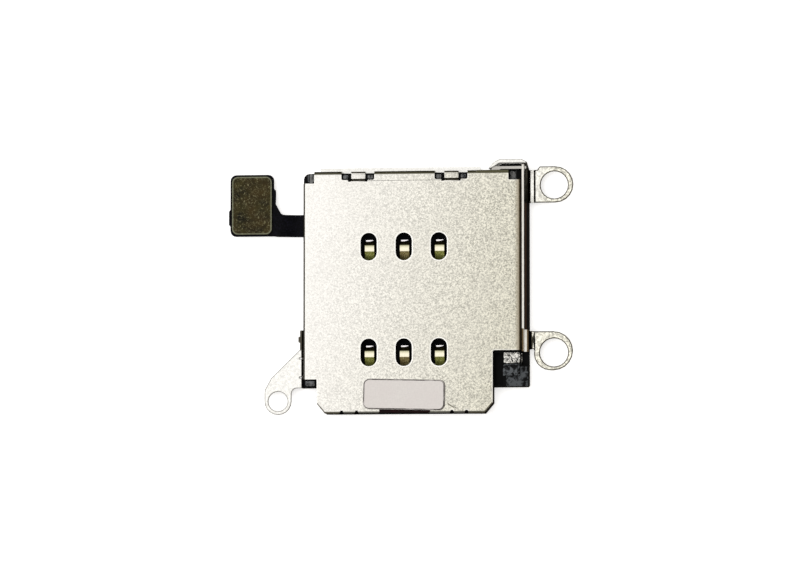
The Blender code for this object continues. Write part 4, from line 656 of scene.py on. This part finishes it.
class Materials:
    """Every finish of the socket, built once."""

    def __init__(self) -> None:
        """Build the materials."""
        self.cover = PlatedSheet(
            "cover_satin_nickel", (0.605, 0.595, 0.575), 0.40, tint=(0.50, 0.485, 0.44),
            contrast=0.54, fine=9.0, right_shade=(0.385, 0.372, 0.305), edge=(0.07, 0.064, 0.045),
            shade_glint_share=0.9, nicks=(
                ((3.16, -7.48), (3.51, -7.74)),
                ((3.51, -7.74), (3.79, -7.81)),
                ((3.20, -7.58), (3.62, -7.80)),
            ),
            # Painted shade along the right, rear and left bends and along the front edge.
            bend_shades=(
                ("X", (8.00, 8.34), 0.85, (0.14, 0.105, 0.055)),
                ("X", (8.32, 8.42), 0.9, (0.03, 0.022, 0.012)),
                ("Y", (9.00, 9.06), 0.95, (0.035, 0.032, 0.012)),
                ("X", (-7.13, -7.19), 0.95, (0.022, 0.020, 0.010)),
                ("Y", (-8.03, -8.08), 0.92, (0.025, 0.024, 0.018)),
            ),
        ).build()
        self.bracket = PlatedSheet(
            "bracket_bright_nickel", (0.56, 0.555, 0.535), 0.32, tint=(0.47, 0.455, 0.41),
            contrast=0.5, fine=5.6, relief=0.0008, edge=(0.030, 0.026, 0.016), shade_glint_share=0.97,
            right_shade=(0.47, 0.46, 0.40), reach=(7.5, 9.5),
        ).build()
        self.plastic = Moulding(
            "housing_black_moulding", (0.0012, 0.0012, 0.0014), 0.42,
            brown_band=((8.64, 8.67), (8.72, 8.86), (-2.4, -2.2), (0.060, 0.030, 0.016)),
        ).build()
        self.gold = SpringGold("contact_gold", (0.60, 0.565, 0.45), 0.22).build()
        self.brown_gold = SpringGold(
            "contact_gold_brown", (0.60, 0.56, 0.44), 0.22, slope=(0.33, 0.25, 0.10),
        ).build()
        self.plain_gold = PlatedSheet(
            "terminal_gold", (0.62, 0.50, 0.24), 0.28, tint=(0.44, 0.33, 0.15), contrast=0.10,
            edge=(0.32, 0.24, 0.10),
        ).build()
        self.lever = PlatedSheet(
            "lever_satin_steel", (0.33, 0.32, 0.30), 0.36, tint=(0.25, 0.24, 0.22),
            edge=(0.08, 0.075, 0.07),
        ).build()
        # Painted light: the rod's body is painted dark brown as its shade, and its marked top faces
        # take the pale edge colour as a painted highlight.
        self.rod = PlatedSheet(
            "rod_steel_painted_light", (0.09, 0.065, 0.035), 0.34, tint=(0.055, 0.038, 0.02), contrast=0.2,
            edge=(0.47, 0.455, 0.42), shade_glint_share=1.0,
        ).build()
        self.film = FilmSkin("tail_black_film", (0.0012, 0.0014, 0.0018), 0.42).build()
        self.stiffener = MottledPlate("stiffener_olive", (0.0165, 0.0132, 0.0034), 0.38).build()
        self.plug = Moulding(
            "plug_black_moulding", (0.012, 0.012, 0.013), 0.5, speck_scale=12.0,
        ).build()
        self.pad = PaddedLiner("pad_pale_cloth", (0.82, 0.785, 0.765), 0.75).build()
        self.glue = GlueFilm("pad_glue_brown", (0.014, 0.009, 0.007), 0.5).build()
        # Painted shade: the strip over the finger notch is partly glue and partly the shade under the
        # pad.
        self.notch_shade_strip = GlueFilm("pad_notch_shade_maroon", (0.012, 0.0008, 0.0016), 0.4).build()
        self.tin = TinSkin("terminal_tin", (0.66, 0.65, 0.61), 0.38).build()


# Mesh helpers


def node_copy(node: str) -> Mesh:
    """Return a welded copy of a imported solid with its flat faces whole.

    Args:
        node: The solid's name.

    Returns:
        A bmesh in the frame's own place.
    """
    bm = bmesh.new()
    bm.from_mesh(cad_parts[node].data)
    bmesh.ops.remove_doubles(bm, verts=bm.verts, dist=0.0001 * MM)
    bmesh.ops.dissolve_limit(bm, angle_limit=math.radians(0.5), verts=bm.verts, edges=bm.edges)
    return bm


def soften(bm: Mesh, width: float, angle: float = SHARP_ANGLE) -> None:
    """Round the sharp edges and mark the rounded faces to take the finish's edge colour, a painted
    shade.

    Args:
        bm: The mesh.
        width: How wide the rounding is, in metres.
        angle: Edges sharper than this many degrees are rounded.
    """
    for name in FACE_MARKS:
        bm.faces.layers.float.new(name)
    layer = bm.faces.layers.float["shade_and_glint"]
    limit = math.radians(angle)
    sharp = [edge for edge in bm.edges if edge.is_manifold and edge.calc_face_angle() > limit]
    rounding = bmesh.ops.bevel(
        bm, geom=sharp, offset=width, offset_type="OFFSET", affect="EDGES", segments=BEVEL_SEGMENTS,
        profile=0.5, material=-1, clamp_overlap=True,
    )
    rounded = set(rounding["faces"])
    for face in bm.faces:
        face[layer] = 1.0 if face in rounded else 0.0


def cut_across(bm: Mesh, axis: str, place: float) -> None:
    """Cut new edges where a plane across one axis meets the mesh.

    Args:
        bm: The mesh.
        axis: The axis, X, Y or Z.
        place: Where the plane crosses it, in metres.
    """
    way = Vector([float(axis == name) for name in "XYZ"])
    everything = bm.verts[:] + bm.edges[:] + bm.faces[:]
    bmesh.ops.bisect_plane(bm, geom=everything, plane_co=way * place, plane_no=way)


def mark_faces(bm: Mesh, name: str, value: float, accept: Test) -> None:
    """Keep a number on some faces, for the finish to read.

    Args:
        bm: The mesh.
        name: The number's name.
        value: The number.
        accept: Says whether a face takes it.
    """
    layer = bm.faces.layers.float[name]
    for face in bm.faces:
        if accept(face):
            face[layer] = value


def outline(bm: Mesh, width: float, accept: Test, even: bool = True) -> set[Face]:
    """Cut a narrow border into some faces, along the outline that they share.

    Args:
        bm: The mesh.
        width: The border's width, in metres.
        accept: Says whether a face takes part.
        even: Whether the border keeps its width in tight corners.

    Returns:
        The faces of the border.
    """
    chosen = [face for face in bm.faces if accept(face)]
    made = bmesh.ops.inset_region(
        bm, faces=chosen, thickness=width, use_boundary=True, use_even_offset=even,
    )["faces"]
    return set(made) - set(chosen)


def middle(face: Face) -> Vector:
    """Return the middle of a face, in millimetres."""
    return face.calc_center_median() / MM


def is_broad_top(face: Face) -> bool:
    """Say whether a face looks up and is over one square millimetre."""
    return face.normal.z > 0.9 and face.calc_area() > 1.0 * MM * MM


def mark_border(bm: Mesh, width: float) -> None:
    """Cut a narrow border into the broad upper face and mark it as the rim."""
    ring = outline(bm, width, is_broad_top)
    mark_faces(bm, "rim", 1.0, lambda face: face in ring)


@dataclass(frozen=True)
class Zone:
    """A box in millimetres that picks faces by their middle."""

    across: Range = ANY
    deep: Range = ANY
    up: Range = ANY

    def holds(self, face: Face) -> bool:
        """Say whether the face's middle lies in the box."""
        return all(map(within, middle(face), (self.across, self.deep, self.up)))


def put(name: str, data: bpy.types.ID) -> Piece:
    """Return a new object, linked to the scene."""
    item = bpy.data.objects.new(name, data)
    bpy.context.scene.collection.objects.link(item)
    return item


def as_piece(name: str, bm: Mesh, material: Material, smooth: float = SMOOTH_ANGLE) -> Piece:
    """Write a bmesh to a new object with one material.

    Args:
        name: The piece's name.
        bm: The mesh, which is freed.
        material: Its finish.
        smooth: Edges under this many degrees are shaded smooth.

    Returns:
        The new object, linked to the scene.
    """
    mesh = bpy.data.meshes.new(name)
    bm.to_mesh(mesh)
    bm.free()
    mesh.materials.append(material)
    mesh.shade_smooth()
    mesh.set_sharp_from_angle(angle=math.radians(smooth))
    return put(name, mesh)


@dataclass
class Assembly:
    """A sub-assembly: it dresses solids and adds its own pieces."""

    finishes: Materials
    made: list[str] = field(default_factory=list)

    def stand_in(
        self, node: str, material: Material, slot: str, body: str, width: float,
        angle: float = SHARP_ANGLE, detail: Callable[[Mesh], None] | None = None,
        smooth: float = SMOOTH_ANGLE,
    ) -> Piece:
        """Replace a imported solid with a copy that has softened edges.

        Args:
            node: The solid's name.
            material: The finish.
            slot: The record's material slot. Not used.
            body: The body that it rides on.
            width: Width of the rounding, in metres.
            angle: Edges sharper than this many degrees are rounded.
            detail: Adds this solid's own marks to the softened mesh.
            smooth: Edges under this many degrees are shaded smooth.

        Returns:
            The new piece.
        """
        bm = node_copy(node)
        soften(bm, width, angle)
        if detail is not None:
            detail(bm)
        piece = as_piece(node + "_finished", bm, material, smooth)
        flat = piece.modifiers.new("flat_faces", "WEIGHTED_NORMAL")
        flat.keep_sharp = True
        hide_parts(node)
        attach(piece, body)
        self.made.append(piece.name)
        return piece

    def dress(self, node: str, material: Material) -> None:
        """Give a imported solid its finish."""
        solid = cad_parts[node]
        solid.data.materials.clear()
        solid.data.materials.append(material)
        self.made.append(node)

    def add(self, name: str, bm: Mesh, material: Material, slot: str, body: str = BODY) -> Piece:
        """Add a new piece that rides on a body."""
        piece = as_piece(name, bm, material)
        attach(piece, body)
        self.made.append(name)
        return piece


@dataclass
class Shell(Assembly):
    """The stamped cover and the bracket below it."""

    edge_width: float = 0.032 * MM
    bracket_edge: float = 0.06 * MM
    window_reach: Range = (0.72 * MM, 1.12 * MM)
    rim_width: float = 0.075 * MM
    rim_shine: float = 0.45
    cover_top: float = 1.48 * MM
    tongue: tuple[Zone, ...] = (
        Zone(across=(6.3, FAR), deep=(-FAR, -5.9)),
        Zone(across=(5.0, FAR), deep=(-FAR, -7.25)),
        Zone(across=(-FAR, -5.0), deep=(-FAR, -7.25)),
    )
    latch_across: Range = (1.0, 5.5)
    latch_inner: Range = (8.5, 8.8)
    latch_slope: Range = (0.3, 0.95)
    latch_outer: Zone = Zone(deep=(9.1, FAR), up=(1.15, 1.3))
    riser_left: float = 8.55
    left_strip: Zone = Zone(across=(-FAR, -7.3), deep=(-3.6, -2.0))
    riser: Zone = Zone(across=(8.55, 9.0), deep=(6.8, FAR), up=(-FAR, 0.6))
    fold_slope: Range = (0.2, 0.985)
    fold_turn: float = 0.2
    fold_start: float = 7.3
    fold_back: float = 9.0
    # Painted shade round the left ear, right ears and rear flange: how dark the rim is, its width and
    # the flat faces
    ear_rims: tuple[tuple[float, float, Zone], ...] = (
        (0.75, 0.045, Zone((-11.0, -7.45), (-9.0, 0.0), (0.3, FAR))),
        (1.0, 0.065, Zone((9.2, 13.0), (-7.0, 10.5), (0.3, FAR))),
        (0.55, 0.045, Zone((-8.0, 9.2), (9.27, 10.5), (0.3, FAR))),
    )

    def paint_rim_light_and_shade(self, bm: Mesh) -> None:
        """Mark a narrow border of the cover's top: a painted highlight, brightest at the openings, and
        painted shade round the tongue and on the latch slopes.
        """
        top = self.cover_top - 0.01 * MM
        border = outline(
            bm, self.rim_width, lambda face: face.normal.z > 0.99 and face.calc_center_median().z > top,
        )

        def at_window(face: Face) -> bool:
            spot = face.calc_center_median()
            column = min(abs(spot.x - step * COLUMN_PITCH) for step in (-1, 0, 1))
            row = abs(abs(spot.y) - ROW_PITCH / 2)
            return column < self.window_reach[0] and row < self.window_reach[1]

        def at_tongue(face: Face) -> bool:
            return any(zone.holds(face) for zone in self.tongue)

        def at_latch(face: Face) -> bool:
            spot = middle(face)
            inner = within(spot.y, self.latch_inner) and within(face.normal.z, self.latch_slope)
            outer = self.latch_outer.holds(face) and face.normal.z < 0.99
            return (inner or outer) and within(abs(spot.x), self.latch_across)

        mark_faces(bm, "shade_and_glint", 1.0, at_latch)
        mark_faces(bm, "rim_highlight", self.rim_shine, lambda face: face in border)
        mark_faces(bm, "rim_highlight", 1.0, lambda face: face in border and at_window(face))
        mark_faces(bm, "rim_highlight", 0.0, lambda face: face in border and at_tongue(face))
        mark_faces(bm, "shade_and_glint", 1.0, lambda face: face in border and at_tongue(face))

    def shade_folds(self, bm: Mesh) -> None:
        """Paint shade on the bracket's ear rims, its sloping folds, its riser and the strip beside the
        left wall.
        """
        cut_across(bm, "X", self.riser_left * MM)

        def on_fold(face: Face) -> bool:
            spot = middle(face)
            normal = face.normal
            sloping = within(abs(normal.z), self.fold_slope) and abs(normal.y) < self.fold_turn
            by_wall = abs(spot.x) > self.fold_start and spot.y < self.fold_back
            return (sloping and by_wall) or self.left_strip.holds(face) or self.riser.holds(face)

        for value, width, zone in self.ear_rims:
            border = outline(
                bm, width * MM, lambda face: face.normal.z > 0.98 and zone.holds(face), even=False,
            )
            mark_faces(bm, "shade_and_glint", value, lambda face: face in border)
        mark_faces(bm, "shade_and_glint", 1.0, on_fold)

    def build(self) -> None:
        """Dress the two stampings."""
        self.stand_in(
            "cover_shell", self.finishes.cover, "cover_steel", BODY, self.edge_width, 40.0,
            self.paint_rim_light_and_shade,
        )
        self.stand_in(
            "base_bracket", self.finishes.bracket, "bracket_steel", BODY, self.bracket_edge, 40.0,
            self.shade_folds,
        )


@dataclass
class Insulator(Assembly):
    """The moulded housing."""

    edge_width: float = 0.03 * MM
    # Boss, step, corner pad, post lobe, inner lobe, slide pad and latch lumps
    pale_tops: tuple[tuple[float, Zone], ...] = (
        (1.0, Zone((7.1, 8.4), (-5.6, -4.6), (1.06, 1.14))),
        (0.8, Zone((7.2, 8.9), (-6.3, -4.8), (0.90, 0.96))),
        (1.5, Zone((-7.2, -6.4), (-6.3, -5.7), (1.28, 1.34))),
        (0.8, Zone((-7.3, -6.84), (8.3, 9.3), (1.38, 1.44))),
        (1.7, Zone((-6.80, -6.4), (8.3, 9.3), (1.38, 1.44))),
        (1.6, Zone((7.61, 8.06), (8.4, 9.3), (0.70, 0.80))),
        (1.5, Zone((-5.0, 5.0), (8.6, 9.2), (1.37, 1.43))),
    )
    cuts: tuple[float, ...] = (-6.84, -6.80, 7.61, 8.06)

    def pale_patches(self, bm: Mesh) -> None:
        """Mark the raised tops that are painted grey instead of black, partly for their rough skin and
        partly as painted sheen.
        """
        for place in self.cuts:
            cut_across(bm, "X", place * MM)
        for value, zone in self.pale_tops:
            mark_faces(bm, "sheen_and_rough", value, zone.holds)

    def build(self) -> None:
        """Dress the moulding."""
        self.stand_in(
            "housing", self.finishes.plastic, "black_plastic", BODY, self.edge_width,
            detail=self.pale_patches,
        )


@dataclass
class ContactField(Assembly):
    """The six contact springs under the windows."""

    count: int = 6
    columns: int = 3
    edge_width: float = 0.015 * MM
    smooth: float = 22.0

    def measure_along(self, bm: Mesh) -> None:
        """Keep each vertex's place along the spring, in millimetres from the window's centre."""
        layer = bm.verts.layers.float.new("along")
        for vert in bm.verts:
            row = ROW_PITCH / 2 if vert.co.y > 0 else -ROW_PITCH / 2
            vert[layer] = (vert.co.y - row) / MM

    def build(self) -> None:
        """Dress each spring."""
        for index in range(1, self.count + 1):
            name = f"contact_{index}"
            finish = self.finishes.brown_gold if index % self.columns == 2 else self.finishes.gold
            self.stand_in(
                name, finish, "gold_plate", name, self.edge_width, detail=self.measure_along,
                smooth=self.smooth,
            )


@dataclass
class Ejector(Assembly):
    """The push rod, the lever and its pin."""

    foot_start: float = -2.15 * MM
    foot_left: float = 8.63 * MM
    foot_right: float = 8.84 * MM

    def paint_top_highlight(self, bm: Mesh) -> None:
        """Mark the strip's upper edge, and the foot's, for a painted highlight in the pale edge colour.
        """
        cut_across(bm, "Y", self.foot_start)
        cut_across(bm, "X", self.foot_left)
        cut_across(bm, "X", self.foot_right)

        def shines(face: Face) -> bool:
            spot = face.calc_center_median()
            in_bar = self.foot_left < spot.x < self.foot_right
            return face.normal.z > 0.95 and (in_bar or spot.y > self.foot_start)

        mark_faces(bm, "shade_and_glint", 0.0, lambda face: True)
        mark_faces(bm, "shade_and_glint", 1.0, shines)

    def build(self) -> None:
        """Dress the moving steel parts."""
        self.stand_in(
            "push_rod", self.finishes.rod, "rod_steel", "push_rod", 0.02 * MM,
            detail=self.paint_top_highlight,
        )
        self.stand_in("ejector_lever", self.finishes.lever, "lever_steel", "ejector_lever", 0.03 * MM)
        self.stand_in("lever_pin", self.finishes.lever, "pin_steel", BODY, 0.02 * MM)


@dataclass
class CardSwitch(Assembly):
    """The switch blade in the rail and its tinned terminal on the side block."""

    tab_path: tuple[Point, ...] = (
        (8.425, 0.864), (8.432, 0.888), (8.457, 0.900), (8.482, 0.888), (8.490, 0.864), (8.490, 0.56),
    )
    tab_reach: Range = (-4.62, -3.93)
    tab_thickness: float = 0.014
    tab_edge: float = 0.004 * MM

    def tab(self) -> Mesh:
        """Return the terminal's tail, bent down over the block's side, clear of the rod's travel."""
        bm = bmesh.new()
        spots = [bm.verts.new((x * MM, self.tab_reach[0] * MM, z * MM)) for x, z in self.tab_path]
        edges = [bm.edges.new(pair) for pair in zip(spots, spots[1:])]
        swept = bmesh.ops.extrude_edge_only(bm, edges=edges)["geom"]
        moved = [item for item in swept if isinstance(item, bmesh.types.BMVert)]
        length = (self.tab_reach[1] - self.tab_reach[0]) * MM
        bmesh.ops.translate(bm, vec=(0.0, length, 0.0), verts=moved)
        bmesh.ops.recalc_face_normals(bm, faces=bm.faces)
        bmesh.ops.solidify(bm, geom=bm.faces[:], thickness=self.tab_thickness * MM)
        bmesh.ops.recalc_face_normals(bm, faces=bm.faces)
        soften(bm, self.tab_edge)
        return bm

    def build(self) -> None:
        """Dress the switch."""
        self.stand_in(
            "switch_spring", self.finishes.plain_gold, "switch_plate", "switch_spring", 0.012 * MM,
        )
        self.stand_in("switch_terminal", self.finishes.tin, "tinned_terminal", BODY, 0.03 * MM)
        self.add("terminal_tail", self.tab(), self.finishes.tin, "tinned_terminal")


@dataclass
class FilmTail(Assembly):
    """The film circuit, its stiffener and the board plug."""

    terminals: int = 8
    holddowns: int = 2
    rim_width: float = 0.085 * MM

    def build(self) -> None:
        """Dress the tail."""
        self.stand_in("flex_circuit", self.finishes.film, "black_film", BODY, 0.02 * MM)
        self.stand_in(
            "stiffener", self.finishes.stiffener, "olive_plate", BODY, 0.005 * MM, 60.0,
            lambda bm: mark_border(bm, self.rim_width),
        )
        self.stand_in("connector_housing", self.finishes.plug, "plug_plastic", BODY, 0.03 * MM)
        for index in range(1, self.terminals + 1):
            self.dress(f"connector_terminal_{index}", self.finishes.plain_gold)
        for index in range(1, self.holddowns + 1):
            self.dress(f"connector_holddown_{index}", self.finishes.plain_gold)


@dataclass
class LabelPad(Assembly):
    """The adhesive pad on the tongue, on a dark film of glue that shows round it."""

    width: float = 5.88 * MM
    length: float = 2.18 * MM
    corner: float = 0.42 * MM
    turn: float = math.radians(-1.3)
    centre: Point = (0.01 * MM, -6.85 * MM)
    glue_margin: float = 0.012 * MM
    glue_shift: float = 0.03 * MM
    dark_rim: float = 0.065 * MM
    glue_z: Range = (1.481 * MM, 1.5 * MM)
    notch: tuple[Range, Range] = ((-1.78 * MM, 1.92 * MM), (-8.15 * MM, -7.80 * MM))
    lip_wave: float = 0.02 * MM
    lip_waves_per_mm: float = 5.0
    lip_taper: float = 0.985

    def glue(self) -> Mesh:
        """Return the film of glue: a rounded sheet a little wider than the pad."""
        bm = bmesh.new()
        bmesh.ops.create_grid(bm, x_segments=1, y_segments=1, size=0.5)
        size = (self.width + 2 * self.glue_margin, self.length + 2 * self.glue_margin, 1.0)
        bmesh.ops.scale(bm, vec=size, verts=bm.verts)
        bmesh.ops.bevel(
            bm, geom=bm.verts[:], offset=self.corner + self.glue_margin, affect="VERTICES",
            segments=6, profile=0.5, material=-1,
        )
        turned = Matrix.Rotation(self.turn, 3, "Z")
        bmesh.ops.rotate(bm, cent=(0.0, 0.0, 0.0), matrix=turned, verts=bm.verts)
        place = (self.centre[0] + self.glue_shift, self.centre[1], self.glue_z[0])
        bmesh.ops.translate(bm, vec=place, verts=bm.verts)
        self.thicken(bm)
        return bm

    def thicken(self, bm: Mesh) -> None:
        """Give a flat sheet the glue's thickness, upwards, as a closed solid."""
        faces = bmesh.ops.extrude_face_region(bm, geom=bm.faces[:])["geom"]
        moved = [item for item in faces if isinstance(item, bmesh.types.BMVert)]
        bmesh.ops.translate(bm, vec=(0.0, 0.0, self.glue_z[1] - self.glue_z[0]), verts=moved)
        bmesh.ops.recalc_face_normals(bm, faces=bm.faces)

    def notch_shade_strip(self) -> Mesh:
        """Return the dark maroon strip over the finger notch: partly glue, partly painted shade under
        the pad's overhang.
        """
        bm = bmesh.new()
        bmesh.ops.create_grid(bm, x_segments=8, y_segments=1, size=0.5)
        (left, right), (front, back) = self.notch
        bmesh.ops.scale(bm, vec=(right - left, back - front, 1.0), verts=bm.verts)
        place = ((left + right) / 2, (front + back) / 2, self.glue_z[0])
        bmesh.ops.translate(bm, vec=place, verts=bm.verts)
        for vert in bm.verts:
            if vert.co.y < place[1]:
                vert.co.y += self.lip_wave * math.sin(vert.co.x / MM * self.lip_waves_per_mm)
                vert.co.x *= self.lip_taper
        self.thicken(bm)
        return bm

    def build(self) -> None:
        """Dress the pad, lay its glue and the strip of painted shade over the notch."""
        piece = self.stand_in(
            "adhesive_pad", self.finishes.pad, "pad_cloth", BODY, 0.01 * MM,
            detail=lambda bm: mark_border(bm, self.dark_rim),
        )
        self.add("pad_glue", self.glue(), self.finishes.glue, "pad_cloth")
        self.add("pad_notch_shade_strip", self.notch_shade_strip(), self.finishes.notch_shade_strip, "pad_cloth")


# Stage


class Softness(Enum):
    """How wide each lamp is, as a share of its distance."""

    BROAD = 1.3
    MEDIUM = 0.7


@dataclass
class Studio:
    """Camera, floor and lamps."""

    aim: Vector = field(default_factory=lambda: Vector((-0.27 * MM, 1.35 * MM, 1.48 * MM)))
    distance: float = 450.0 * MM
    lean_right: float = 7.1
    lean_front: float = 4.2
    pixels_per_mm: float = 13.92
    frame_width: float = 800.0
    shade: Colour = (0.26, 0.22, 0.17)
    surround: Colour = (0.22, 0.20, 0.17)
    sensor: float = 36.0
    clip: Range = (0.005, 20.0)
    lamp_distance: float = 0.40
    lamps: tuple[tuple[str, Triple, Softness, float], ...] = (
        ("key_above", (-0.10, 0.08, 1.0), Softness.BROAD, 1.40),
        ("left_back", (-0.95, 0.10, 0.80), Softness.MEDIUM, 0.40),
    )
    floor_half: float = 3.0
    floor_drop: float = 0.02 * MM
    floor_colour: Colour = (0.93, 0.93, 0.93)
    floor_glow: float = 0.55

    def camera(self) -> None:
        """Place the camera above the socket, a little to the right and in front."""
        lean = math.tan(math.radians(self.lean_right)), -math.tan(math.radians(self.lean_front))
        back = Vector((*lean, 1.0)).normalized()
        right = Vector((0.0, 1.0, 0.0)).cross(back).normalized()
        up = back.cross(right)
        data = bpy.data.cameras.new("camera")
        data.sensor_width = self.sensor
        data.lens = self.pixels_per_mm * data.sensor_width * (self.distance / MM) / self.frame_width
        data.clip_start, data.clip_end = self.clip
        item = put("camera", data)
        turned = Matrix((right, up, back)).transposed().to_4x4()
        item.matrix_world = Matrix.Translation(self.aim + back * self.distance) @ turned
        bpy.context.scene.camera = item

    def lamp(self, name: str, direction: Triple, softness: Softness, power: float) -> None:
        """Add a square soft lamp that looks at the socket.

        Args:
            name: Its name.
            direction: Where it stands, seen from the socket.
            softness: How wide it is.
            power: Its power in watts.
        """
        data = bpy.data.lights.new(name, "AREA")
        data.shape = "SQUARE"
        data.size = self.lamp_distance * softness.value
        data.energy = power
        item = put(name, data)
        way = Vector(direction).normalized()
        item.location = way * self.lamp_distance
        item.rotation_mode = "QUATERNION"
        item.rotation_quaternion = way.to_track_quat("Z", "Y")
        item.visible_camera = False

    def floor(self) -> None:
        """Lay the plain pale floor just under the socket, darker where the metal mirrors it."""
        bm = bmesh.new()
        bmesh.ops.create_grid(bm, x_segments=1, y_segments=1, size=self.floor_half)
        bmesh.ops.translate(bm, verts=bm.verts, vec=(0.0, 0.0, -self.floor_drop))
        material, graph = blank("floor_white")
        graph.give("Roughness", 0.9)
        graph.give("Emission Color", (1.0, 1.0, 1.0))
        seen = graph.add("LightPath").outputs["Is Camera Ray"]
        graph.give("Base Color", graph.blend(seen, self.shade, self.floor_colour))
        graph.give("Emission Strength", graph.times(seen, self.floor_glow))
        piece = as_piece("floor", bm, material)

    def sky(self) -> None:
        """Surround the scene with a dim warm grey that the camera sees as white."""
        world = bpy.data.worlds.new("studio")
        bpy.context.scene.world = world
        world.use_nodes = True
        graph = Graph(world.node_tree)
        background = world.node_tree.nodes["Background"]
        seen = graph.add("LightPath").outputs["Is Camera Ray"]
        white = graph.blend(seen, self.surround, (1.0, 1.0, 1.0))
        graph.feed(background.inputs["Color"], white)

    def build(self) -> None:
        """Set up the whole studio."""
        self.camera()
        self.floor()
        self.sky()
        for lamp in self.lamps:
            self.lamp(*lamp)
        scene = bpy.context.scene
        scene.view_settings.view_transform = "Standard"
        scene.view_settings.look = "None"


def main() -> None:
    """Build the socket's dress and the stage."""
    logging.basicConfig(level=logging.INFO, format="%(name)s: %(message)s")
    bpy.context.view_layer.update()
    finishes = Materials()
    for maker in (Shell, Insulator, ContactField, Ejector, CardSwitch, FilmTail, LabelPad):
        assembly = maker(finishes)
        assembly.build()
        for name in assembly.made:
            LOG.info("%s: %s", maker.__name__, name)
    Studio().build()


if __name__ == "__main__":
    main()
